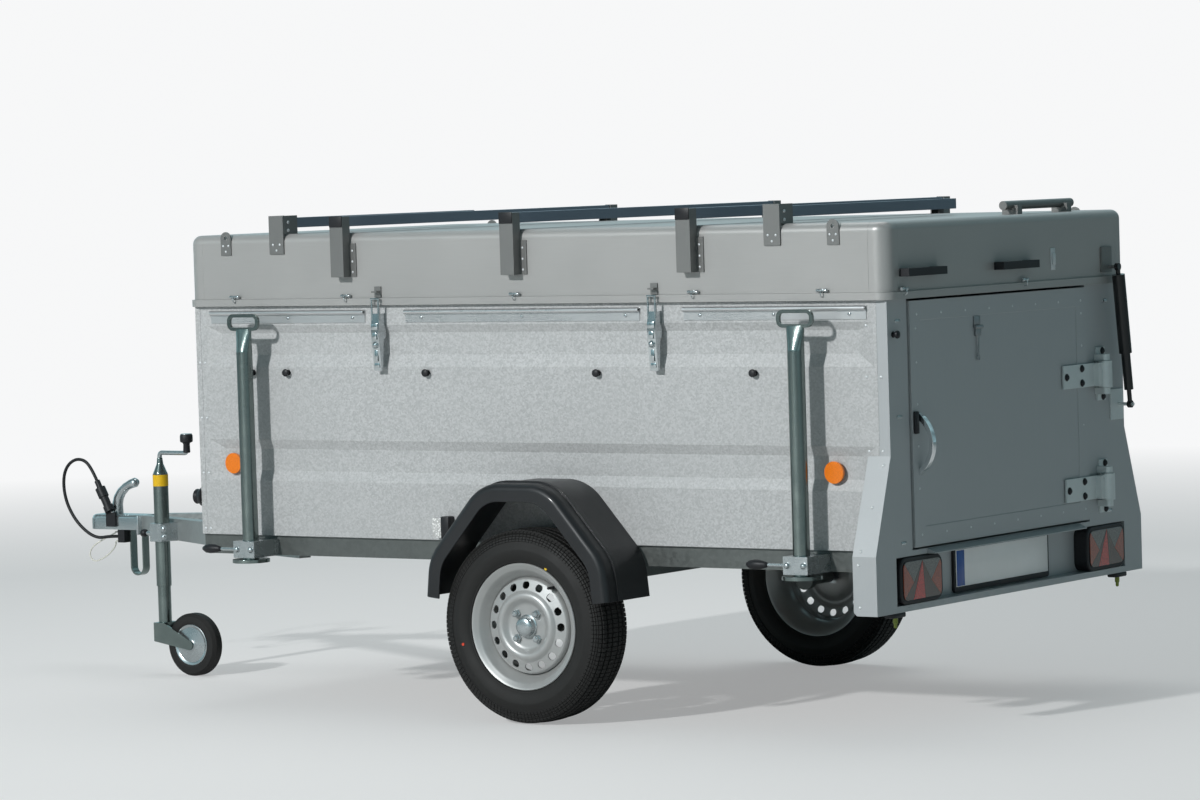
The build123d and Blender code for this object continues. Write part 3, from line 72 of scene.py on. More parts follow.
NODES = frame["nodes"]
MM = 0.001
MM_PER_METRE = 1000
UP = Vector((0, 0, 1))
LEFT = Vector((0, 1, 0))
AHEAD = Vector((1, 0, 0))
ALONG = Matrix.Rotation(math.pi / 2, 4, "Y")  # lays a shape's own Z along the surface


# Places taken from the frame
def low(node):
    return Vector(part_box(node)[0])


def high(node):
    return Vector(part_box(node)[1])


REAR = low("rear_frame").x
FRONT = high("front_wall").x
BODY_LENGTH = FRONT - REAR
SIDE = high("side_wall_left").y
POST_FOOT = low("rear_frame").z
NOSE = high("coupling_head").x


def forward(distance):
    """Place along the trailer, measured forward from the body's rear face."""
    return REAR + distance


# Camera, set up like the photograph's
CAMERA_PLACE = (-8.3507, 11.4221, 1.5829)
CAMERA_YAW, CAMERA_PITCH, CAMERA_ROLL = (math.radians(a) for a in (-54.74, -2.89, -1.75))
CAMERA_LENS, SENSOR, FAR_CLIP = 138.9, 36, 200


def add_camera():
    sight = Vector((math.cos(CAMERA_YAW) * math.cos(CAMERA_PITCH),
                    math.sin(CAMERA_YAW) * math.cos(CAMERA_PITCH), math.sin(CAMERA_PITCH)))
    right = Vector((math.sin(CAMERA_YAW), -math.cos(CAMERA_YAW), 0))
    up = right.cross(sight)
    right, up = (math.cos(CAMERA_ROLL) * right + math.sin(CAMERA_ROLL) * up,
                 math.cos(CAMERA_ROLL) * up - math.sin(CAMERA_ROLL) * right)
    data = bpy.data.cameras.new("camera")
    data.lens, data.sensor_width, data.clip_end = CAMERA_LENS, SENSOR, FAR_CLIP
    camera = bpy.data.objects.new("camera", data)
    turn = Matrix((right, up, -sight)).transposed().to_4x4()
    camera.matrix_world = Matrix.Translation(CAMERA_PLACE) @ turn
    bpy.context.collection.objects.link(camera)
    bpy.context.scene.camera = camera


# Shader building
NOISE_ROUGHNESS = 0.55


class Wire:
    """A socket in a finish; sums on it add Math nodes."""

    def __init__(self, finish, socket):
        self.finish, self.socket = finish, socket

    def maths(self, operation, *terms):
        return self.finish.node("ShaderNodeMath", {"operation": operation}, dict(enumerate(terms)))

    def __add__(self, other):
        return self.maths("ADD", self, other)

    def __mul__(self, other):
        return self.maths("MULTIPLY", self, other)


class Finish:
    """A material put together node by node on its Principled shader."""

    def __init__(self, name, **constants):
        self.material = bpy.data.materials.new(name)
        self.material.use_nodes = True
        self.tree = self.material.node_tree
        self.shader = self.tree.nodes["Principled BSDF"]
        self.place = self.node("ShaderNodeTexCoord", out="Object")
        for socket, value in constants.items():
            self.feed(socket.replace("_", " ").title().replace("Ior", "IOR"), value)

    def node(self, kind, settings=None, sockets=None, out=0):
        made = self.tree.nodes.new(kind)
        for key, value in (settings or {}).items():
            setattr(made, key, value)
        for key, value in (sockets or {}).items():
            self.plug(made.inputs[key], value)
        return Wire(self, made.outputs[out])

    def plug(self, socket, value):
        if isinstance(value, Wire):
            self.tree.links.new(value.socket, socket)
        elif socket.type == "RGBA" and len(value) == 3:
            socket.default_value = (*value, 1)
        else:
            socket.default_value = value

    def feed(self, socket, value):
        self.plug(self.shader.inputs[socket], value)

    def noise(self, scale, detail=4, stretch=(1, 1, 1)):
        spot = self.node("ShaderNodeMapping", sockets={"Vector": self.place, "Scale": stretch})
        return self.node("ShaderNodeTexNoise", sockets={
            "Vector": spot, "Scale": scale, "Detail": detail, "Roughness": NOISE_ROUGHNESS})

    def cells(self, scale, out="Color"):
        return self.node("ShaderNodeTexVoronoi", sockets={"Vector": self.place, "Scale": scale}, out=out)

    def blend(self, share, first, second):
        return self.node("ShaderNodeMix", {"data_type": "RGBA"}, {0: share, 6: first, 7: second}, out=2)

    def pick(self, share, first, second):
        return self.node("ShaderNodeMix", {"data_type": "FLOAT"}, {0: share, 2: first, 3: second})

    def ray(self, kind):
        return self.node("ShaderNodeLightPath", out=f"Is {kind} Ray")

    def span(self, value, start, end, first, last):
        return self.node("ShaderNodeMapRange", sockets={
            "Value": value, "From Min": start, "From Max": end, "To Min": first, "To Max": last})

    def bump(self, height, strength, distance):
        self.feed("Normal", self.node("ShaderNodeBump", sockets={
            "Height": height, "Strength": strength, "Distance": distance}))


class Sky(Finish):
    """The world's light, put together the same way on its Background shader."""

    def __init__(self, name):
        world = bpy.data.worlds.new(name)
        bpy.context.scene.world = world
        world.use_nodes = True
        self.tree = world.node_tree
        self.shader = self.tree.nodes["Background"]
        self.place = self.node("ShaderNodeTexCoord", out="Generated")


def shade(colour, factor):
    return tuple(min(1, c * factor) for c in colour)


def spangled(name, colour, grain, metallic=0.15, rough=0.6, contrast=0.22):
    """Hot-dip galvanised sheet: crystal patches of slightly different grey with a fine sparkle."""
    f = Finish(name, metallic=metallic)
    patch = f.node("ShaderNodeSeparateColor", sockets={0: f.cells(grain)})
    fine = f.noise(grain * 2.2, 3)
    cloud = f.noise(1.6, 3)
    tone = patch * 0.5 + fine * 0.5
    tint = f.blend(tone, shade(colour, 1 - contrast), shade(colour, 1 + contrast))
    tint = f.blend(f.span(cloud, 0.35, 0.65, 0, 0.35), tint, shade(colour, 0.93))
    f.feed("Base Color", tint)
    f.feed("Roughness", f.span(tone, 0.2, 0.8, rough - 0.07, rough + 0.07))
    f.bump(fine, 0.05, 0.0006)
    return f


def brushed(name, colour, metallic=0.5, rough=0.38, stretch=(1, 60, 60), scale=9, contrast=0.05):
    """Satin sheet or extrusion with fine rolling lines along one direction and faint handling marks."""
    f = Finish(name, metallic=metallic)
    lines = f.noise(scale, 5, stretch)
    marks = f.noise(3.1, 5)
    f.feed("Base Color", f.blend(lines, shade(colour, 1 - contrast), shade(colour, 1 + contrast)))
    worn = f.span(marks, 0.35, 0.7, -0.04, 0.05) + f.span(lines, 0.3, 0.7, -0.03, 0.03)
    f.feed("Roughness", worn + rough)
    f.bump(lines, 0.03, 0.0004)
    return f


def plated(name, colour, rough=0.24, metallic=0.9, contrast=0.12):
    """Bright zinc: cloudy patches from the bath, with a fine grain."""
    f = Finish(name, metallic=metallic)
    cloud = f.noise(14, 4)
    grain = f.noise(420, 2)
    bright, dull = shade(colour, 1 + contrast * 0.6), shade(colour, 1 - contrast)
    f.feed("Base Color", f.blend(f.span(cloud, 0.35, 0.68, 0, 1), bright, dull))
    gloss = f.span(cloud, 0.3, 0.7, rough - 0.04, rough + 0.08)
    f.feed("Roughness", gloss + f.span(grain, 0.3, 0.7, -0.02, 0.02))
    return f


def moulded(name, colour, rough=0.5, grain=900, depth=0.12, coat=0.0):
    """Moulded plastic or rubber with a fine grain and a little dust in the low spots."""
    f = Finish(name, coat_weight=coat, coat_roughness=0.12, specular_ior_level=0.3)
    leather = f.noise(grain, 2)
    dust = f.noise(7, 5)
    f.feed("Base Color", f.blend(f.span(dust, 0.4, 0.75, 0, 0.5), colour, shade(colour, 1.6)))
    f.feed("Roughness", f.span(dust, 0.35, 0.7, rough - 0.05, rough + 0.08))
    f.bump(leather, depth, 0.0005)
    return f


def polished(name, colour, rough=0.08):
    """Chrome with a faint haze."""
    f = Finish(name, metallic=1.0)
    haze = f.noise(30)
    f.feed("Base Color", f.blend(haze, shade(colour, 0.96), colour))
    f.feed("Roughness", f.span(haze, 0.3, 0.7, rough, rough + 0.07))
    return f


def lens(name, colour, ribs=260, depth=0.5, coat=1.0):
    """Moulded lens: clear gloss over a grid of fine prisms."""
    f = Finish(name, coat_weight=coat, coat_roughness=0.04, roughness=0.28)
    prism = f.cells(ribs, "Distance")
    f.feed("Base Color", f.blend(f.span(prism, 0.05, 0.6, 0, 1), shade(colour, 1.2), shade(colour, depth)))
    f.bump(prism, 0.35, 0.0015)
    return f


GALVANISED = spangled("galvanised_sheet", (0.45, 0.458, 0.46), 210, contrast=0.34)
FRAME_STEEL = spangled("galvanised_frame", (0.31, 0.335, 0.335), 90, 0.55, 0.42, 0.16)
# Rail steel painted near-black: painted shade for the body's shadow over the side rails, cross members, axle
# beam and axle arms
RAIL_STEEL_PAINTED_SHADE = spangled("galvanised_rail_painted_shade", (0.13, 0.14, 0.135), 90, 0.6, 0.42, 0.16)
LID_SHEET = brushed("satin_lid_sheet", (0.38, 0.376, 0.368), 0.3, 0.42)
TAIL_SHEET = brushed("satin_tail_sheet", (0.40, 0.42, 0.43), 0.15, 0.5, (40, 40, 1))
RAIL_EXTRUSION = brushed("awning_extrusion", (0.58, 0.585, 0.59), 0.75, 0.3)
BRACKET = brushed("bracket_grey", (0.20, 0.20, 0.195), 0.5, 0.42, (30, 30, 1))
# Roof bars: their own grey paint, lightened and tinted blue as a painted sky reflection on their shaded rear
# faces
BAR_PAINTED_SKY_REFLECTION = brushed("roof_bar_grey_painted_sky_reflection", (0.20, 0.24, 0.30), 0.45, 0.42, (60, 1, 60))
ZINC = plated("bright_zinc", (0.46, 0.49, 0.50))
# Tube zinc: its own zinc grey, darkened and tinted green as a painted reflection of dark, grassy surroundings
TUBE_ZINC_PAINTED_REFLECTION = plated("zinc_tube_painted_reflection", (0.20, 0.235, 0.225), 0.2, 0.95)
RIVET_ALLOY = brushed("rivet_alloy", (0.62, 0.64, 0.65), 0.4, 0.4, (1, 1, 1), 300)
HINGE_ZINC = brushed("hinge_zinc", (0.62, 0.66, 0.66), 0.3, 0.4, (1, 1, 1), 60)
DARK_ZINC = plated("dull_zinc", (0.30, 0.31, 0.32), 0.36)
RIM_PAINT = brushed("wheel_silver", (0.40, 0.405, 0.40), 0.4, 0.4, (1, 1, 1), 40)
FENDER = moulded("wheel_cover_plastic", (0.012, 0.0125, 0.014), 0.42, 700, 0.1, 0.15)
BLACK = moulded("black_plastic", (0.014, 0.014, 0.016), 0.45)
RUBBER = moulded("tyre_rubber", (0.014, 0.0135, 0.013), 0.66, 500, 0.15)
SHEATH = moulded("cable_sheath", (0.011, 0.011, 0.012), 0.5, 1200, 0.08)
STRUT = moulded("strut_black", (0.012, 0.012, 0.013), 0.32, 1500, 0.04, 0.3)
CHROME = polished("chrome", (0.78, 0.79, 0.80))
LATCH_CHROME = polished("latch_chrome", (0.52, 0.55, 0.56), 0.14)
PLYWOOD = brushed("floor_plywood", (0.10, 0.062, 0.034), 0.0, 0.55, (1, 14, 14), 16, 0.3)
AMBER = lens("amber_lens", (0.92, 0.21, 0.002), 420, 0.85, 0.08)
RED = lens("red_lens", (0.72, 0.03, 0.015))
CLEAR = lens("clear_lens", (0.82, 0.83, 0.82), 150, 0.55)
PLATE_WHITE = moulded("plate_white", (0.88, 0.88, 0.87), 0.35, 300, 0.03, 0.4)
PLATE_BLUE = moulded("plate_blue", (0.012, 0.07, 0.30), 0.35, 300, 0.03, 0.4)
YELLOW = moulded("yellow_band", (0.72, 0.42, 0.012), 0.4, 500, 0.05)
GREEN_PIN = moulded("green_pin", (0.22, 0.27, 0.05), 0.4, 500, 0.05)
WIRE_COAT = moulded("coated_wire", (0.62, 0.61, 0.55), 0.4, 900, 0.05)

# Finish, slot, easing of the edges in millimetres and the frame's nodes that take them
FINISHES = [
    (GALVANISED, "galvanised", 1.6, "side_wall_left side_wall_right front_wall"),
    (FRAME_STEEL, "galvanised", 0.0, "drawbar_arms"),
    (RAIL_STEEL_PAINTED_SHADE, "galvanised", 0.0, "side_rails cross_members axle_beam axle_arms"),
    (LID_SHEET, "lid_aluminium", 0.8, "lid_roof lid_side_left lid_side_right lid_end_panels lid_corners"
                                      " lid_rim"),
    (TAIL_SHEET, "tail_aluminium", 0.6, "rear_frame rear_rails door_panel"),
    (RAIL_EXTRUSION, "lid_aluminium", 0.5, "awning_rails"),
    (BRACKET, "bracket_grey", 0.7, "lid_brackets"),
    (BAR_PAINTED_SKY_REFLECTION, "bar_grey", 0.8, "roof_bars leg_front leg_rear"),
    (ZINC, "zinc", 0.8, "jockey_clamp jockey_crank jockey_spindle stand_clamps"
                        " body_hinge_leaves lid_hinge_leaves"),
    (HINGE_ZINC, "zinc", 0.8, "rear_post_fittings door_hinge_leaves"),
    (LATCH_CHROME, "zinc", 1.5, "toggle_latches"),
    (TUBE_ZINC_PAINTED_REFLECTION, "zinc", 0.8, "jockey_outer_tube jockey_leg stand_front_left stand_front_right stand_rear_left"
                             " stand_rear_right"),
    (FENDER, "black_plastic", 1.5, "fender_left fender_right"),
    (BLACK, "black_plastic", 0.8, "lid_handles plate_holder plug_holder rear_lamps"),
    (RUBBER, "jockey_rubber", 0.0, "jockey_wheel"),
    (STRUT, "strut_black", 0.5, "gas_strut"),
    (CHROME, "chrome", 1.2, "door_handle"),
    (PLYWOOD, "floor_wood", 0.0, "floor_panel"),
    (AMBER, "amber", 0.8, "side_reflectors"),
    (CLEAR, "clear_lamp", 0.8, "front_markers"),
]


# Cables: route points in millimetres, lengthwise from the coupling's nose, sideways and up
PLUG_CABLE_ROUTE = [(-52.81, 40, 606.23), (-34.03, 40, 641.55), (-3, 41, 675), (43, 43, 676), (81, 45, 643),
                    (90, 46, 587), (75, 46, 524), (31, 44, 461), (-32, 34, 416), (-88, 20, 424),
                    (-128, 20, 424)]
PLUG_CABLE_D, PLUG_CABLE_LENGTH = 0.0105, 0.546
PLUG_EASE = 0.8
BREAKAWAY_ROUTE = [(-128, 10, 438), (-98, 10, 438), (-70, -24, 431), (-34, -38, 420), (8, -38, 402),
                   (46, -36, 382), (58, -34, 354), (38, -33, 332), (2, -34, 342), (-36, -36, 364),
                   (-72, -22, 392), (-98, 10, 410), (-128, 10, 410)]
BREAKAWAY_D, BREAKAWAY_LENGTH = 0.005, 0.454


def add_cable(name, route, diameter, finish, node):
    data = bpy.data.curves.new(name, "CURVE")
    data.dimensions, data.resolution_u = "3D", 12
    data.bevel_depth, data.bevel_resolution, data.use_fill_caps = diameter / 2, 4, True
    line = data.splines.new("NURBS")
    line.points.add(len(route) - 1)
    for point, (x, y, z) in zip(line.points, route):
        point.co = (NOSE + x / MM_PER_METRE, y / MM_PER_METRE, z / MM_PER_METRE, 1)
    line.order_u, line.use_endpoint_u = 3, True
    cable = bpy.data.objects.new(name, data)
    bpy.context.collection.objects.link(cable)
    data.materials.append(finish.material)
    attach(cable, "trailer")
    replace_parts(cable, node)
    return cable


def add_cables():
    plug = finish_node("plug", BLACK, PLUG_EASE)
    cable = add_cable("cable_to_plug", PLUG_CABLE_ROUTE, PLUG_CABLE_D, SHEATH, "plug_cable")
    cable = add_cable("cable_breakaway", BREAKAWAY_ROUTE, BREAKAWAY_D, WIRE_COAT, "breakaway_cable")


# Shapes are made once along +Z, in millimetres, and stamped where they are needed
def soften(bm, sharp):
    """Smooth shading on every face, broken at the sharp edges."""
    for face in bm.faces:
        face.smooth = True
    for edge in bm.edges:
        edge.smooth = edge.calc_face_angle(0) < math.radians(sharp)


def template(bm, sharp=40):
    """Keeps a finished shape as a mesh, smooth but for its sharp edges."""
    bmesh.ops.remove_doubles(bm, verts=bm.verts, dist=1e-6)
    bmesh.ops.recalc_face_normals(bm, faces=bm.faces)
    soften(bm, sharp)
    mesh = bpy.data.meshes.new("template")
    bm.to_mesh(mesh)
    bm.free()
    return mesh


def whirl(bm, geom, steps):
    """One full turn about Z, closed on itself."""
    bmesh.ops.spin(bm, geom=geom, cent=(0, 0, 0), axis=UP, angle=math.tau, steps=steps, use_merge=True)


def ease_edges(bm, edges, width, segments=2, clamp=False):
    bmesh.ops.bevel(bm, geom=edges, offset=width * MM, affect="EDGES", segments=segments, profile=0.5,
                    material=-1, clamp_overlap=clamp)


def thicken(bm, thickness):
    """Gives a sheet its thickness."""
    bmesh.ops.recalc_face_normals(bm, faces=bm.faces)
    bmesh.ops.solidify(bm, geom=bm.faces[:], thickness=thickness * MM)


def turned(profile, segments=20, sharp=40):
    """A shape turned on a lathe from pairs of radius and height."""
    bm = bmesh.new()
    spots = [bm.verts.new((r * MM, 0, h * MM)) for r, h in profile]
    edges = [bm.edges.new(pair) for pair in zip(spots, spots[1:])]
    whirl(bm, spots + edges, segments)
    return template(bm, sharp)


def block(across, up, out, bevel):
    """A block standing on the surface, with rounded edges."""
    bm = bmesh.new()
    lift = Matrix.Translation((0, 0, out / 2 * MM))
    bmesh.ops.create_cube(bm, size=MM, matrix=lift @ Matrix.Diagonal((across, up, out, 1)))
    ease_edges(bm, bm.edges[:], bevel)
    return template(bm)


def hoop(radius, rod, segments, sides):
    """A closed ring of round wire, lying flat."""
    bm = bmesh.new()
    stand = Matrix.Translation((radius * MM, 0, 0)) @ Matrix.Rotation(math.pi / 2, 4, "X")
    bmesh.ops.create_circle(bm, segments=sides, radius=rod * MM, matrix=stand)
    whirl(bm, bm.verts[:] + bm.edges[:], segments)
    return template(bm)


def pin(radius, length, bevel=0.6, segments=16):
    """A short round bar with eased ends."""
    return turned([(0, 0), (radius - bevel, 0), (radius, bevel), (radius, length - bevel),
                   (radius - bevel, length), (0, length)], segments)


def limb(path, thickness, sides=14):
    """A round limb of varying thickness along a path in the X-Z plane, in millimetres."""
    bm = bmesh.new()
    spots = [Vector((x, 0, z)) * MM for x, z in path]
    loops = []
    for k, (spot, thick) in enumerate(zip(spots, thickness)):
        run = spots[min(k + 1, len(spots) - 1)] - spots[max(k - 1, 0)]
        ring = bmesh.ops.create_circle(bm, segments=sides, radius=thick / 2 * MM,
                                       matrix=facing(spot, run))["verts"]
        loops.append([edge for edge in bm.edges if edge.verts[0] in ring and edge.verts[1] in ring])
    for first, second in zip(loops, loops[1:]):
        bmesh.ops.bridge_loops(bm, edges=first + second)
    for end in (loops[0], loops[-1]):
        bmesh.ops.edgeloop_fill(bm, edges=end)
    return template(bm, 60)


def facing(place, axis):
    """Turns +Z to an axis with +Y kept upright, or ahead where the axis itself is upright."""
    out = Vector(axis).normalized()
    across = (UP if abs(out.z) < 0.9 else AHEAD).cross(out).normalized()
    return Matrix.Translation(place) @ Matrix((across, out.cross(across), out)).transposed().to_4x4()


def stamp(bm, shape, place, axis=UP, shift=(0, 0, 0), turn=None):
    """Adds a template at a place; the shift is in the shape's own millimetres."""
    count = len(bm.verts)
    bm.from_mesh(shape)
    bm.verts.ensure_lookup_table()
    local = Matrix.Translation(Vector(shift) * MM) @ (turn or Matrix.Identity(4))
    bmesh.ops.transform(bm, matrix=facing(place, axis) @ local, verts=bm.verts[count:])


def seat(nodes, place, axis, above=0.25):
    """Where a line against an axis first meets the named nodes, and the surface's direction there."""
    start = Vector(place) + Vector(axis) * above
    hits = []
    for name in nodes.split():
        found, spot, normal, _ = NODES[name].ray_cast(start, -Vector(axis))
        if found:
            hits.append(((spot - start).length, spot, normal))
    if not hits:
        raise ValueError(f"nothing of {nodes} under {tuple(place)}")
    return min(hits, key=lambda hit: hit[0])[1:]


def fasten(bm, shape, nodes, places, axis, square=True):
    """Stamps a fastener on each place where it meets the nodes."""
    for place in places:
        spot, normal = seat(nodes, place, axis)
        stamp(bm, shape, spot, axis if square else normal)


def piece(name, bm, finish, body):
    """Makes a piece from a finished shape; it moves with a body."""
    mesh = bpy.data.meshes.new(name)
    bm.to_mesh(mesh)
    bm.free()
    mesh.materials.append(finish.material)
    made = bpy.data.objects.new(name, mesh)
    bpy.context.collection.objects.link(made)
    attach(made, body)
    return made


def points(geom):
    """The vertices among what an operator made."""
    return [item for item in geom if isinstance(item, bmesh.types.BMVert)]


def evenly(start, end, count):
    """Values from start to end with equal steps."""
    return [start + (end - start) * k / (count - 1) for k in range(count)]


FOLD, FLAT, SAME_SPOT = math.radians(24), math.radians(0.5), 1e-5
FLAT_SHEETS = "side_wall_left side_wall_right front_wall rear_frame door_panel".split()
SHEET_SHARP, SHARP = 9, 38


def finish_node(node, finish, ease):
    """The node's own shape with its curves shaded smooth and its folds eased, shown in its place."""
    bm = bmesh.new()
    bm.from_mesh(NODES[node].data)
    bmesh.ops.remove_doubles(bm, verts=bm.verts, dist=SAME_SPOT)
    if ease:
        bmesh.ops.dissolve_limit(bm, angle_limit=FLAT, verts=bm.verts, edges=bm.edges)
        folds = [edge for edge in bm.edges if edge.calc_face_angle(0) > FOLD]
        ease_edges(bm, folds, ease, clamp=True)
    soften(bm, SHEET_SHARP if node in FLAT_SHEETS else SHARP)
    made = piece(node + "_finished", bm, finish, NODES[node]["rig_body"])
    made.modifiers.new("flat faces", "WEIGHTED_NORMAL").keep_sharp = True
    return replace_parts(made, node)


def finish_nodes():
    for finish, slot, ease, names in FINISHES:
        for name in names.split():
            finish_node(name, finish, ease)


# Fasteners: pairs of radius and height
RIVET = turned([(0, 2.4), (2.2, 2.1), (4.0, 1.2), (4.9, 0), (4.9, -0.8), (0, -0.8)], 14, 70)
SMALL_RIVET = turned([(0, 1.8), (1.8, 1.5), (3.2, 0.8), (3.8, 0), (3.8, -0.6), (0, -0.6)], 12, 70)
SCREW = turned([(0, 3.0), (3.2, 3.0), (4.6, 2.2), (5.4, 0.6), (5.4, -0.6), (0, -0.6)], 14)
DOME_BOLT = turned([(0, 7.5), (4.5, 7.0), (7.5, 5.0), (8.6, 2.0), (8.6, 1.2), (11, 1.2), (11, -0.5),
                    (0, -0.5)], 18)
TENT_KNOB = turned([(0, 20), (7, 19.6), (10.5, 17.6), (11.6, 14), (10.4, 11), (7, 9.4), (5.6, 7), (5.6, 2.4),
                    (9, 1.6), (9, -0.5), (0, -0.5)], 20)
STUD_BARREL = turned([(0, -17), (4.6, -17), (5.4, -15.5), (5.4, -9), (3.6, -7.5), (3.6, 7.5), (5.4, 9),
                      (5.4, 15.5), (4.6, 17), (0, 17)], 14)
STUD_SIZE = 9
STUD_FOOT = block(STUD_SIZE, STUD_SIZE, STUD_SIZE, 1)
STUD_RING = hoop(8.5, 1.4, 20, 8)
EYE_PLATE = block(27, 9, 2.2, 1.0)

# Their places on the sides: forward of the body's rear face and up, in millimetres
WALL_RIVETS = [(2447, 1024), (2427, 1024), (2447, 857), (2427, 857), (2447, 690), (2427, 690), (2427, 521),
               (2447, 521), (71, 1125), (71, 984), (24, 984), (71, 780), (24, 780)]
GUSSET_RIVETS = [(20, 742), (36, 630), (52, 512), (58, 474), (56, 358)]
RAIL_SCREWS, RAIL_SCREW_Z = [2095, 1851, 1595, 1231, 866, 612, 366, 118], 1158
KNOB_PLACES, KNOB_Z = [2238, 2104, 1580, 969, 435], 995
STUD_PLACES, STUD_Z = [2285, 1860, 1242, 622, 194], 1223
LEG_PLACES, EAR_PLACES = [356, 2120], [157, 2317]
BAR_PLACES = [0.257, 0.506, 0.759]  # shares of the body's length
# From the middle of a bracket, and up
BAR_RIVETS = [(dx, z) for dx in (-33, 33) for z in (1293, 1324, 1356)]
EAR_RIVETS = [(-10, 1377), (10, 1377), (0, 1360)]
LEG_RIVETS = [(-13, 1378), (13, 1378), (0, 1361)]
# On the tail and on the legs' cheeks: to the left and up
POST_EYES = [(608, 1135), (609, 872), (605, 524), (-559, 1143), (-557, 524)]
POST_KNOBS = [(631, 1099)]
POST_BOLTS = [(-526, 997), (-526, 863), (-526, 667), (-526, 533)]
TAIL_STUDS = [(598, STUD_Z), (-60, STUD_Z)]
HINGE_BOLTS = [(-302, 930), (-392, 951), (-392, 909), (-302, 600), (-392, 621), (-392, 579)]
CHEEK_BOLTS = [(652, 1444), (652, 1420)]
DOOR_EDGE_Z = [1112, 1018, 902, 786, 669]
DOOR_RIVETS = [(y, z) for z in (1150, 541) for y in evenly(514, -405, 8)]
DOOR_RIVETS += [(521, z) for z in DOOR_EDGE_Z] + [(-405, z) for z in DOOR_EDGE_Z[:2] + DOOR_EDGE_Z[3:4]]


def on_side(x, z, side):
    return Vector((forward(x * MM), side * SIDE, z * MM))


def on_tail(places):
    return [Vector((REAR, y * MM, z * MM)) for y, z in places]


def add_fasteners():
    add_body_fasteners()
    add_lid_fasteners()
    rivets, bolts = bmesh.new(), bmesh.new()
    fasten(rivets, SMALL_RIVET, "door_panel", on_tail(DOOR_RIVETS), -AHEAD)
    fasten(bolts, DOME_BOLT, "door_hinge_leaves", on_tail(HINGE_BOLTS), -AHEAD)
    piece("rivets_door", rivets, RIVET_ALLOY, "door")
    piece("bolts_door", bolts, BLACK, "door")


def add_body_fasteners():
    walls = "side_wall_left side_wall_right front_wall rear_frame"
    rivets, screws, knobs = bmesh.new(), bmesh.new(), bmesh.new()
    for side in (1, -1):
        out = LEFT * side
        fasten(rivets, RIVET, walls, [on_side(x, z, side) for x, z in WALL_RIVETS], out)
        fasten(rivets, RIVET, "rear_frame", [on_side(x, z, side) for x, z in GUSSET_RIVETS], out, False)
        fasten(knobs, TENT_KNOB, walls, [on_side(x, KNOB_Z, side) for x in KNOB_PLACES], out)
    fasten(screws, SCREW, "awning_rails", [on_side(x, RAIL_SCREW_Z, 1) for x in RAIL_SCREWS], LEFT)
    fasten(screws, EYE_PLATE, "rear_frame", on_tail(POST_EYES), -AHEAD)
    fasten(screws, SMALL_RIVET, "rear_frame", on_tail(POST_EYES), -AHEAD)
    fasten(knobs, TENT_KNOB, "rear_frame", on_tail(POST_KNOBS), -AHEAD)
    fasten(knobs, DOME_BOLT, "rear_post_fittings", on_tail(POST_BOLTS), -AHEAD)
    piece("rivets_body", rivets, RIVET_ALLOY, "trailer")
    piece("screws_body", screws, ZINC, "trailer")
    piece("knobs_body", knobs, BLACK, "trailer")


def rivet_bracket(bm, x, pattern, side):
    places = [on_side(x + dx, z, side) for dx, z in pattern]
    fasten(bm, SMALL_RIVET, "lid_brackets", places, LEFT * side)


def add_lid_fasteners():
    rivets, studs = bmesh.new(), bmesh.new()
    for side in (1, -1):
        for share in BAR_PLACES:
            rivet_bracket(rivets, BODY_LENGTH * share / MM, BAR_RIVETS, side)
        for x in EAR_PLACES:
            rivet_bracket(rivets, x, EAR_RIVETS, side)
        for x in STUD_PLACES:
            add_stud(studs, "lid_side_left lid_side_right", on_side(x, STUD_Z, side), LEFT * side)
    for x in LEG_PLACES:
        rivet_bracket(rivets, x, LEG_RIVETS, 1)
    for place in on_tail(TAIL_STUDS):
        add_stud(studs, "lid_end_panels lid_corners", place, -AHEAD)
    for x in LEG_PLACES:
        places = [Vector((forward(x * MM), y * MM, z * MM)) for y, z in CHEEK_BOLTS]
        fasten(rivets, SCREW, "lid_brackets", places, -AHEAD)
    piece("rivets_lid", rivets, RIVET_ALLOY, "lid")
    piece("studs_lid", studs, ZINC, "lid")


def add_stud(bm, nodes, place, out):
    """A spool on the lid's lip with a wire ring hanging from it."""
    spot, _ = seat(nodes, place, out)
    stamp(bm, STUD_FOOT, spot, out)
    stamp(bm, STUD_BARREL, spot, out, (0, 0, STUD_SIZE), ALONG)
    stamp(bm, STUD_RING, spot, out, (0, -STUD_SIZE, STUD_SIZE), ALONG)


# Tail lamps and number plate
LAMP_Y, LAMP_Z, LAMP_WIDE, LAMP_TALL = 522, 419.5, 200, 106
LENS_DEEP, LENS_EDGE, LENS_SHARP = 3, 0.8, 20
# Tone and corners as shares of the lamp's width and height
LENS_FIELDS = [
    ("red", [(0.5, 1), (0.25, 0), (0.56, 0)]),
    ("clear", [(0.08, 1), (0.025, 0.955), (0.27, 0.45), (0.5, 1)]),
    ("clear", [(0.5, 1), (0.73, 0.45), (0.975, 0.955), (0.92, 1)]),
    ("amber", [(0.025, 0.955), (0, 0.85), (0, 0.15), (0.025, 0.045), (0.27, 0.45)]),
    ("amber", [(0.975, 0.955), (0.73, 0.45), (0.975, 0.045), (1, 0.15), (1, 0.85)]),
    ("dark", [(0.025, 0.045), (0.08, 0), (0.25, 0), (0.5, 1), (0.27, 0.45)]),
    ("dark", [(0.56, 0), (0.92, 0), (0.975, 0.045), (0.73, 0.45), (0.5, 1)]),
]
LENS_FINISH = {
    "red": RED,
    "clear": lens("smoke_lens", (0.16, 0.16, 0.15)),
    "amber": lens("orange_lens", (0.42, 0.06, 0.012)),
    "dark": lens("brown_lens", (0.07, 0.028, 0.012)),
}
PLATE_WIDE, PLATE_TALL, PLATE_THICK, PLATE_Y, PLATE_LIFT = 516, 104, 1.6, 21, 5
BAND_WIDE, BAND_SHORT, BAND_THICK, BAND_IN, BAND_OUT = 42, 4, 0.6, 3, 1.5


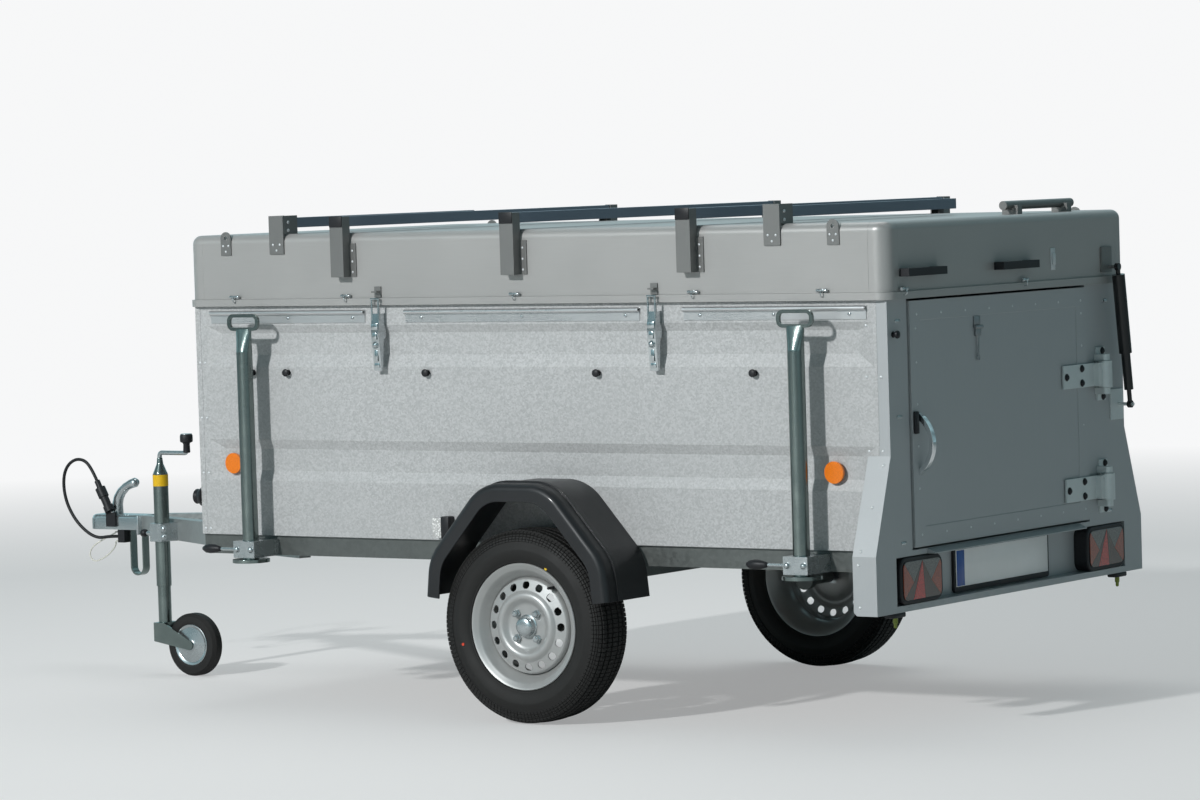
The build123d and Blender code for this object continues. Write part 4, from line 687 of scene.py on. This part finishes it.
def lens_field(corners):
    """One field of a lamp's lens: its outline raised, with eased edges."""
    bm = bmesh.new()
    flat = bm.faces.new([bm.verts.new(((u - 0.5) * LAMP_WIDE * MM, (v - 0.5) * LAMP_TALL * MM, 0))
                         for u, v in corners])
    raised = bmesh.ops.extrude_face_region(bm, geom=[flat])["geom"]
    bmesh.ops.translate(bm, verts=points(raised), vec=(0, 0, LENS_DEEP * MM))
    ease_edges(bm, bm.edges[:], LENS_EDGE, 1)
    return template(bm, LENS_SHARP)


def add_lamps():
    fields = {tone: bmesh.new() for tone in LENS_FINISH}
    face = low("rear_lamps").x
    for side in (1, -1):
        for tone, corners in LENS_FIELDS:
            stamp(fields[tone], lens_field(corners), (face, side * LAMP_Y * MM, LAMP_Z * MM), -AHEAD)
    for tone, bm in fields.items():
        piece("lens_" + tone, bm, LENS_FINISH[tone], "trailer")
    plate, band = bmesh.new(), bmesh.new()
    spot = (low("plate_holder").x, PLATE_Y * MM, (LAMP_Z + PLATE_LIFT) * MM)
    stamp(plate, block(PLATE_WIDE, PLATE_TALL, PLATE_THICK, 0.7), spot, -AHEAD)
    piece("plate_blank", plate, PLATE_WHITE, "trailer")
    shift = (-(PLATE_WIDE - BAND_WIDE) / 2 + BAND_IN, 0, BAND_OUT)
    stamp(band, block(BAND_WIDE, PLATE_TALL - BAND_SHORT, BAND_THICK, 0.2), spot, -AHEAD, shift)
    piece("plate_band", band, PLATE_BLUE, "trailer")


# Road tyres: pairs of radius and half the width
TREAD_PITCHES, TREAD_SHARP = 132, 28
TYRE_SIDE = [(171, 52), (178, 55.5), (183, 59), (186, 63.5), (189, 64.2), (191, 66.2), (203, 71.2),
             (212, 73.6), (220, 74.7), (223, 74.6), (225, 73.6), (233, 72.8), (235, 71.8), (244, 69.8),
             (251, 67.9), (258, 65.6)]
TREAD_FLOOR = [(264, 62), (270.5, 56.5), (271, 38.5), (271.5, 34), (273, 16.5), (273.2, 12.5)]
TREAD_RAISE, SHOULDER_RAISE = 6.2, 2.4
TREAD_FROM, SHOULDER_FROM, SIPE_HALF = 0.263, 0.243, 1.5
BLOCKS = [(0, 12), (17, 33.5), (39, 56), (57, 62)]


def tyre_shape():
    half = TYRE_SIDE + TREAD_FLOOR
    profile = half + [(r, -w) for r, w in reversed(half)]
    bm = bmesh.new()
    spots = [bm.verts.new((r * MM, 0, w * MM)) for r, w in profile]
    edges = [bm.edges.new(pair) for pair in zip(spots, spots[1:] + spots[:1])]
    whirl(bm, spots + edges, TREAD_PITCHES)
    bmesh.ops.remove_doubles(bm, verts=bm.verts, dist=1e-6)
    bmesh.ops.recalc_face_normals(bm, faces=bm.faces)
    tread, shoulder = [], []
    for face in bm.faces:
        middle = face.calc_center_median()
        width, reach = abs(middle.z) / MM, middle.xy.length
        if reach > TREAD_FROM and any(a <= width <= b for a, b in BLOCKS):
            tread.append(face)
        elif SHOULDER_FROM < reach < TREAD_FROM:
            shoulder.append(face)
    for faces, rise in ((tread, TREAD_RAISE), (shoulder, SHOULDER_RAISE)):
        bmesh.ops.inset_individual(bm, faces=faces, thickness=SIPE_HALF * MM, depth=rise * MM)
    return template(bm, TREAD_SHARP)


# Factory marks on the left tyre's wall: name, finish, and behind, up and out from the wheel's middle
PAINT_DOTS = [("red", moulded("red_mark", (0.62, 0.06, 0.03), 0.5), (-207, -56, 72.4)),
              ("yellow", moulded("yellow_mark", (0.72, 0.45, 0.03), 0.5), (88, 168, 63.8))]
PAINT_DOT = pin(4.5, 2.6, 0.4)
VALVE, VALVE_PLACE = pin(4.2, 30, 1.2), (88, 112, 28)

# Wheel rims: pairs of radius and distance out from the wheel's middle plane
LUG_REACH, LUG_COUNT, LUG_SEAT = 50, 4, 40
BARREL = [(182, -63), (176, -62), (166, -55), (156, -48), (146, -36), (139, -20), (139, 18), (146, 30),
          (155, 40), (160, 51), (166, 56), (173, 59.5), (177, 63), (180.5, 64), (182.4, 62), (182, 58.5),
          (172, 56), (169, 52), (163, 46), (158, 37), (149, 26), (142, 16), (142, -18), (149, -33),
          (159, -45), (169, -52), (182, -59), (182, -63)]
DISC_EDGE = [(141, 10), (139, 26), (136.5, 34), (133, 37.8), (128, 38.6), (128, 35), (134, 33), (137, 14),
             (141, 10)]
CROWN = [(107, 44.2), (103.5, 45.6), (100.5, 48), (96, 52.5), (90, 55.8), (83, 55.8), (76.5, 52), (70, 44.5),
         (64, 40.8), (58, 39.4), (26, 39.4), (26, 35), (60, 35), (72, 40), (80, 48), (92, 49), (100, 42),
         (107, 40.5), (107, 44.2)]
RIM_SEGMENTS, RIM_SHARP = 96, 50
HOLES, HOLE_R, HOLE_REACH, HOLE_SEGMENTS = 16, 12, 118, 20
STRIP_HALF, STRIP_OUT, STRIP_RISE, STRIP_THICK, STRIP_CUTS = 15, 41.8, 0.26, 4, 4
LUG = turned([(0, 17), (6.5, 17), (9.5, 15), (9.5, 7), (12.5, 5), (12.5, -2), (0, -2)], 6, 30)
HUB_CAP = turned([(0, 25.5), (14, 25), (24, 23), (28.5, 18), (29.5, 11), (29.5, 4), (33, 2), (33, -2),
                  (0, -2)], 40, 50)


def hole_strip():
    """The sloping ring of vent holes: a sector bridged from its border to a hole, repeated about the axle."""
    bm = bmesh.new()
    corners = Matrix.Rotation(math.pi / 4, 4, "Z")
    bmesh.ops.create_circle(bm, segments=4, radius=math.sqrt(2), matrix=corners)
    bmesh.ops.subdivide_edges(bm, edges=bm.edges[:], cuts=STRIP_CUTS)
    for spot in bm.verts:
        reach, angle = HOLE_REACH + spot.co.x * STRIP_HALF, spot.co.y * math.pi / HOLES
        out = STRIP_OUT - spot.co.x * STRIP_HALF * STRIP_RISE
        spot.co = Vector((reach * math.cos(angle), reach * math.sin(angle), out)) * MM
    tilt = Matrix.Rotation(math.atan(STRIP_RISE), 4, "Y")
    bmesh.ops.create_circle(bm, segments=HOLE_SEGMENTS, radius=HOLE_R * MM,
                            matrix=Matrix.Translation(Vector((HOLE_REACH, 0, STRIP_OUT)) * MM) @ tilt)
    bmesh.ops.bridge_loops(bm, edges=bm.edges[:])
    bmesh.ops.spin(bm, geom=bm.verts[:] + bm.edges[:] + bm.faces[:], cent=(0, 0, 0), axis=UP,
                   angle=math.tau * (HOLES - 1) / HOLES, steps=HOLES - 1, use_duplicate=True)
    bmesh.ops.remove_doubles(bm, verts=bm.verts, dist=1e-5)
    thicken(bm, STRIP_THICK)
    return template(bm)


def wheel_piece(side, name, finish, shapes):
    """A piece on a road wheel, from shapes and their places about the wheel's middle."""
    node = "tyre_" + side
    bm = bmesh.new()
    for shape, shift in shapes:
        stamp(bm, shape, (low(node) + high(node)) / 2, LEFT if side == "left" else -LEFT, shift)
    return piece(name, bm, finish, "wheel_" + side)


def add_tyres():
    middle = (0, 0, 0)
    tyre = [(tyre_shape(), middle)]
    rim = [(turned(profile, RIM_SEGMENTS, RIM_SHARP), middle) for profile in (BARREL, DISC_EDGE, CROWN)]
    rim.append((hole_strip(), middle))
    turns = [math.tau * (k + 0.5) / LUG_COUNT for k in range(LUG_COUNT)]
    bolts = [(LUG, (LUG_REACH * math.cos(a), LUG_REACH * math.sin(a), LUG_SEAT)) for a in turns]
    bolts.append((HUB_CAP, (0, 0, LUG_SEAT)))
    for side in ("left", "right"):
        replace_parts(wheel_piece(side, "treaded_tyre_" + side, RUBBER, tyre), "tyre_" + side)
        wheel_piece(side, "valve_" + side, BLACK, [(VALVE, VALVE_PLACE)])
        if side == "left":
            for name, ink, place in PAINT_DOTS:
                wheel_piece(side, "paint_dot_" + name, ink, [(PAINT_DOT, place)])
        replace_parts(wheel_piece(side, "pressed_rim_" + side, RIM_PAINT, rim), "rim_" + side)
        wheel_piece(side, "wheel_bolts_" + side, ZINC, bolts)


# Jockey wheel, stands and coupling
BAND_Z, BAND_PROUD, BAND_SUNK, BAND_EASE = (604, 641), 0.7, 0.6, 0.5
CRANK_KNOB = turned([(0, -34), (9.5, -34), (11.5, -32), (10.5, -6), (13, -2), (19, 0), (20.5, 4), (20.5, 20),
                     (18.5, 25), (12, 26.6), (0, 27)], 22, 35)
KNOB_IN, KNOB_DOWN = 0.018, 0.027
JOCKEY_HUB = turned([(8, 26.8), (15, 26.8), (17, 25.4), (20, 24.8), (56, 20.4), (60, 22.4), (64, 23.4),
                     (66, 22), (66, 18), (8, 18), (8, 26.8)], 36, 30)
CLAMP_KNOB = turned([(0, 0), (7, 0.5), (12, 5), (13, 14), (11, 21), (5, 24), (0, 24.4)], 18, 60)
CLAMP_SCREW, CLAMP_SCREW_Z, CLAMP_KNOB_OUT = pin(6, 34), 0.024, 0.016
CLAMP_BOLT_LIFTS, CLAMP_BOLT_IN = (16, 42), 0.014
GRIP = turned([(0, 0), (5.5, 1), (9, 10), (13.5, 28), (14.5, 44), (12, 60), (6, 71), (0, 74)], 18, 60)
STAND_PLACES, STAND_BOLTS, STAND_BOLT_Z = (250, 2210), (-27, 27), 470
GRIP_AHEAD, GRIP_SIDE, GRIP_Z = 94, 0.759, 0.470
LEVER_PATH = [(-8, -4), (-8, 30), (-14, 52), (-28, 72), (-48, 88), (-70, 98), (-88, 103), (-97, 104)]
LEVER_THICK = [38, 36, 34, 31, 28, 30, 32, 20]
LEVER_PIN, LEVER_PIN_PLACE = pin(9, 34), (0, 16, -17)
STRAP_WIDE, STRAP_THICK, STRAP_STEPS, STRAP_SHARP = 30, 5, 14, 40
HOOD_HALF, HOOD_FOOT, HOOD_TOP, HOOD_LENGTH = 33, 447, 497, 250
HOOD_SHEET, HOOD_CORNER, HOOD_NOSE, HOOD_DROP, HOOD_SHARP = 5, 13, 42, 15, 35
FLANGE_THICK, FLANGE_EASE = 8, 1.5
QUARTER = math.pi / 2
# Millimetres behind the nose, half the width and the top: the round nose, the pressed groove and the box
HOOD_SECTIONS = [(HOOD_NOSE * (1 - math.cos(a)), HOOD_HALF * math.sin(a),
                  HOOD_TOP - HOOD_DROP * (1 - math.sin(a))) for a in evenly(0, QUARTER, 9)]
HOOD_SECTIONS += [(98, HOOD_HALF, HOOD_TOP), (101, 30.5, 494), (107, 30.5, 494), (110, HOOD_HALF, HOOD_TOP),
                  (HOOD_LENGTH, HOOD_HALF, HOOD_TOP)]
BALL_BACK = 38
BALL_CUP = turned([(25, 1), (25, 16), (22.5, 27), (14, 36.5), (0, 40.5), (0, 44), (16, 40), (26, 30),
                   (29, 16), (29, 1), (25, 1)], 32)


def add_nose_fittings():
    add_jockey_fittings()
    add_coupling_handle()
    add_coupling_hood()
    add_strap()
    add_clamp_fittings()


def add_jockey_fittings():
    """The tube's yellow band, the crank's knob and the wheel's hub discs."""
    tube_low, tube_high = low("jockey_outer_tube"), high("jockey_outer_tube")
    middle = (tube_low + tube_high) / 2
    radius = (tube_high.x - tube_low.x) / 2 / MM
    foot, top = BAND_Z
    ring = [(radius - BAND_SUNK, foot), (radius + BAND_PROUD, foot + BAND_EASE),
            (radius + BAND_PROUD, top - BAND_EASE), (radius - BAND_SUNK, top)]
    band, knob, hub = bmesh.new(), bmesh.new(), bmesh.new()
    stamp(band, turned(ring + ring[:1], 36), (middle.x, middle.y, 0))
    piece("jockey_band", band, YELLOW, "trailer")
    stamp(knob, CRANK_KNOB, (low("jockey_crank").x + KNOB_IN, middle.y, high("jockey_crank").z - KNOB_DOWN))
    piece("crank_knob", knob, BLACK, "trailer")
    for out in (LEFT, -LEFT):
        stamp(hub, JOCKEY_HUB, (low("jockey_wheel") + high("jockey_wheel")) / 2, out)
    piece("jockey_hub", hub, ZINC, "jockey_roller")


def add_coupling_handle():
    lever = bmesh.new()
    foot = Vector((high("coupling_lever").x, 0, low("coupling_lever").z))
    lever.from_mesh(limb(LEVER_PATH, LEVER_THICK))
    bmesh.ops.translate(lever, verts=lever.verts[:], vec=foot)
    stamp(lever, LEVER_PIN, foot, LEFT, LEVER_PIN_PLACE)
    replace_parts(piece("coupling_handle", lever, ZINC, "trailer"), "coupling_lever")


def add_coupling_hood():
    """The pressed hood over the ball: bridged and thickened arches, the ball's cup and the rear flange."""
    bm = bmesh.new()
    arches = []
    for back, half, top in HOOD_SECTIONS:
        corner = min(HOOD_CORNER, half)
        arch = [(half, HOOD_FOOT)] + [(half - corner * (1 - math.cos(a)), top - corner * (1 - math.sin(a)))
                                      for a in evenly(0, QUARTER, 6)]
        arch += [(-y, z) for y, z in reversed(arch)]
        spots = [bm.verts.new((NOSE - back * MM, y * MM, z * MM)) for y, z in arch]
        arches.append([bm.edges.new(pair) for pair in zip(spots, spots[1:])])
    for first, second in zip(arches, arches[1:]):
        bmesh.ops.bridge_loops(bm, edges=first + second)
    bmesh.ops.remove_doubles(bm, verts=bm.verts, dist=1e-6)
    thicken(bm, HOOD_SHEET)
    bmesh.ops.recalc_face_normals(bm, faces=bm.faces)
    soften(bm, HOOD_SHARP)
    stamp(bm, BALL_CUP, (NOSE - BALL_BACK * MM, 0, HOOD_FOOT * MM))
    foot, top = low("coupling_head"), high("coupling_head")
    flange = block((top.y - foot.y) / MM, (top.z - foot.z) / MM, FLANGE_THICK, FLANGE_EASE)
    stamp(bm, flange, (foot.x, 0, (foot.z + top.z) / 2), AHEAD)
    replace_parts(piece("coupling_hood", bm, ZINC, "trailer"), "coupling_head")


def add_strap():
    """The folded strap under the coupling: one line bent to a U, widened and given its thickness."""
    foot, top = low("drawbar_hoop"), high("drawbar_hoop")
    reach, right = (top.x - foot.x) / 2, -STRAP_WIDE / 2 * MM
    bm = bmesh.new()
    bend = bm.verts.new((foot.x, right, foot.z + reach))
    bm.edges.new((bm.verts.new((foot.x, right, top.z)), bend))
    turn = bmesh.ops.spin(bm, geom=[bend], cent=(foot.x + reach, right, foot.z + reach), axis=-LEFT,
                          angle=math.pi, steps=STRAP_STEPS)["geom_last"]
    bm.edges.new((points(turn)[0], bm.verts.new((top.x, right, top.z))))
    wide = bmesh.ops.extrude_edge_only(bm, edges=bm.edges[:])["geom"]
    bmesh.ops.translate(bm, verts=points(wide), vec=LEFT * STRAP_WIDE * MM)
    thicken(bm, STRAP_THICK)
    bmesh.ops.recalc_face_normals(bm, faces=bm.faces)
    soften(bm, STRAP_SHARP)
    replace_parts(piece("coupling_strap", bm, TUBE_ZINC_PAINTED_REFLECTION, "trailer"), "drawbar_hoop")


def add_clamp_fittings():
    """Bolts and knob of the jockey clamp, bolts and grips of the stand clamps."""
    bolts, knob = bmesh.new(), bmesh.new()
    foot, top = low("jockey_clamp"), high("jockey_clamp")
    middle_y = (low("jockey_outer_tube").y + high("jockey_outer_tube").y) / 2
    for lift in CLAMP_BOLT_LIFTS:
        stamp(bolts, DOME_BOLT, (foot.x + CLAMP_BOLT_IN, top.y, foot.z + lift * MM), LEFT)
    stamp(bolts, CLAMP_SCREW, (top.x, middle_y, foot.z + CLAMP_SCREW_Z), AHEAD)
    stamp(knob, CLAMP_KNOB, (top.x + CLAMP_KNOB_OUT, middle_y, foot.z + CLAMP_SCREW_Z), AHEAD)
    piece("clamp_bolts", bolts, ZINC, "trailer")
    piece("clamp_knob", knob, BLACK, "trailer")
    grips, bolts = bmesh.new(), bmesh.new()
    for side in (1, -1):
        for x in STAND_PLACES:
            stamp(grips, GRIP, (forward((x + GRIP_AHEAD) * MM), side * GRIP_SIDE, GRIP_Z), AHEAD)
        places = [on_side(x + dx, STAND_BOLT_Z, side) for x in STAND_PLACES for dx in STAND_BOLTS]
        fasten(bolts, DOME_BOLT, "stand_clamps", places, LEFT * side)
    piece("clamp_grips", grips, BLACK, "trailer")
    piece("stand_bolts", bolts, ZINC, "trailer")


# Small pieces of lid, door and tail; places on the tail are to the left and up
BAR_CAP, BAR_CAP_Z = block(47, 33, 3, 1.2), 1443
KEEPER_PLACE, KEEPER_THICK, KEEPER_RIVETS = (-236, 1276), 2.5, (-26, 26)
KEEPER_PLATE, KEEPER_NOSE = block(26, 64, KEEPER_THICK, 1), block(12, 34, 7, 2.5)
HASP_PLACE = (190, 1100)
HASP_LEAF, HASP_BODY, HASP_PIN = block(34, 26, 4, 1.2), block(26, 24, 9, 2), pin(5.5, 40)
HASP_WIRE, HASP_RING = pin(1.5, 58, 0.3, 8), hoop(7, 1.6, 18, 8)
HASP_WIRES = [(-5, 0.075), (5, -0.075)]  # sideways, and the lean in radians
LATCH_PLACES = [0.308, 0.709]  # shares of the body's length
LATCH_PRESSINGS = [(1132, block(24, 20, 5, 2)), (1104, block(15, 22, 3.5, 1.6)), (1078, DOME_BOLT),
                   (1046, block(11, 34, 3, 1.4)), (1018, block(18, 14, 2.5, 1.2))]
HANDLE_PLACE, HANDLE_BASE = (537, 852), block(20, 62, 9, 3)
MARKER_HOUSING, MARKER_IN = block(30, 66, 31, 4), 0.012
PAD, PAD_Y, PAD_IN = block(62, 34, 14, 4), 628, 0.019
RAIL_PIN = turned([(0, 0), (7, 0), (7, 16), (5, 18), (5, 27), (3, 30), (0, 30)], 14)
RAIL_PIN_DOWN = 13
BUFFER = turned([(0, 42), (14, 41), (23, 34), (21, 22), (31, 8), (32, 0), (0, 0)], 22)
BUFFER_PLACE = (FRONT, 0.638, 0.616)


def tail_seat(nodes, place):
    spot, _ = seat(nodes, on_tail([place])[0], -AHEAD)
    return spot


def add_tail_fittings():
    caps = bmesh.new()
    for side in (1, -1):
        for share in BAR_PLACES:
            place = on_side(BODY_LENGTH * share / MM, BAR_CAP_Z, side)
            spot, _ = seat("roof_bars lid_brackets", place, LEFT * side)
            stamp(caps, BAR_CAP, spot, LEFT * side)
    piece("bar_caps", caps, BLACK, "lid")
    add_keeper()
    add_hasp()
    latches, base = bmesh.new(), bmesh.new()
    for share in LATCH_PLACES:
        for z, shape in LATCH_PRESSINGS:
            fasten(latches, shape, "toggle_latches", [on_side(BODY_LENGTH * share / MM, z, 1)], LEFT)
    piece("latch_pressings", latches, LATCH_CHROME, "trailer")
    stamp(base, HANDLE_BASE, tail_seat("door_panel", HANDLE_PLACE), -AHEAD)
    piece("handle_base", base, BLACK, "door")
    add_corner_fittings()


def add_keeper():
    bm = bmesh.new()
    spot = tail_seat("lid_end_panels", KEEPER_PLACE)
    stamp(bm, KEEPER_PLATE, spot, -AHEAD)
    for lift in KEEPER_RIVETS:
        stamp(bm, SMALL_RIVET, spot, -AHEAD, (0, lift, KEEPER_THICK))
    stamp(bm, KEEPER_NOSE, spot, -AHEAD, (0, 0, 2))
    piece("lid_keeper", bm, RIVET_ALLOY, "lid")


def add_hasp():
    """The door's hasp, with two wires that hang from it to a ring."""
    bm = bmesh.new()
    spot = tail_seat("door_panel", HASP_PLACE)
    stamp(bm, HASP_LEAF, spot, -AHEAD, (0, 18, 0))
    stamp(bm, HASP_BODY, spot, -AHEAD, (0, -14, 0))
    stamp(bm, HASP_PIN, spot, -AHEAD, (-20, 0, 8), ALONG)
    for aside, lean in HASP_WIRES:
        drop = Matrix.Rotation(math.pi / 2, 4, "X") @ Matrix.Rotation(lean, 4, "Y")
        stamp(bm, HASP_WIRE, spot, -AHEAD, (aside, -24, 5), drop)
    stamp(bm, HASP_RING, spot, -AHEAD, (0, -86, 5))
    piece("door_hasp", bm, DARK_ZINC, "door")


def add_corner_fittings():
    """Housings of the front markers, pads and pins under the rear posts, and the front buffer."""
    housings, pads, pins, buffer = bmesh.new(), bmesh.new(), bmesh.new(), bmesh.new()
    foot, top = low("front_markers"), high("front_markers")
    for side in (1, -1):
        place = (foot.x + MARKER_IN, side * SIDE, (foot.z + top.z) / 2)
        stamp(housings, MARKER_HOUSING, place, LEFT * side)
        place = (REAR + PAD_IN, side * PAD_Y * MM, POST_FOOT)
        stamp(pads, PAD, place, -UP)
        stamp(pins, RAIL_PIN, place, -UP, (0, 0, RAIL_PIN_DOWN))
    piece("marker_housings", housings, BLACK, "trailer")
    piece("rail_pads", pads, BLACK, "trailer")
    piece("rail_pins", pins, GREEN_PIN, "trailer")
    stamp(buffer, BUFFER, BUFFER_PLACE, AHEAD)
    piece("front_buffer", buffer, BLACK, "trailer")


# Floor, light and world
FLOOR_HALF = 40
FLOOR_TONE = (0.83, 0.83, 0.82)
WORLD_TONE = (0.93, 0.935, 0.94)
FADE_START, FADE_END = 5.0, 11.0
LAMPS = [("key", (1.8, 14.9, 7.9), 0.8, 1960), ("top", (0.5, -2.0, 7.0), 5.0, 130)]
SHADE_TONE = (0.60, 0.92, 1.0)
AMBIENT, MIRRORED, FLOOR_GLOW = 0.15, (0.10, 0.85), 0.35
PATCH_SCALE, PATCH_DETAIL, PATCH_FROM, PATCH_TO = 1.5, 2, 0.38, 0.62


def add_stage():
    bm = bmesh.new()
    bmesh.ops.create_grid(bm, x_segments=1, y_segments=1, size=FLOOR_HALF)
    mesh = bpy.data.meshes.new("floor")
    bm.to_mesh(mesh)
    bm.free()
    floor = bpy.data.objects.new("floor", mesh)
    bpy.context.collection.objects.link(floor)
    f = Finish("pale_floor", base_color=FLOOR_TONE, roughness=0.9)
    glow = f.node("ShaderNodeEmission", sockets={"Color": WORLD_TONE, "Strength": 1.0})
    reach = f.node("ShaderNodeVectorMath", {"operation": "LENGTH"}, {0: f.place}, out="Value")
    fade = f.span(reach, FADE_START, FADE_END, FLOOR_GLOW, 1) * f.ray("Camera")
    mixed = f.node("ShaderNodeMixShader", sockets={0: fade, 1: Wire(f, f.shader.outputs[0]), 2: glow})
    f.plug(f.tree.nodes["Material Output"].inputs["Surface"], mixed)
    mesh.materials.append(f.material)
    for name, place, size, power in LAMPS:
        data = bpy.data.lights.new(name, "AREA")
        data.shape, data.size, data.energy = "DISK", size, power
        lamp = bpy.data.objects.new(name, data)
        turn = Vector(place).to_track_quat("Z", "Y").to_matrix().to_4x4()
        lamp.matrix_world = Matrix.Translation(place) @ turn
        bpy.context.collection.objects.link(lamp)
    sky = Sky("studio")
    patches = sky.span(sky.noise(PATCH_SCALE, PATCH_DETAIL), PATCH_FROM, PATCH_TO, *MIRRORED)
    sky.feed("Color", sky.blend(sky.ray("Camera"), SHADE_TONE, WORLD_TONE))
    sky.feed("Strength", sky.pick(sky.ray("Camera"), sky.pick(sky.ray("Glossy"), AMBIENT, patches), 1.0))


add_camera()
add_cables()
add_fasteners()
add_lamps()
add_tyres()
add_nose_fittings()
add_tail_fittings()
finish_nodes()
add_stage()
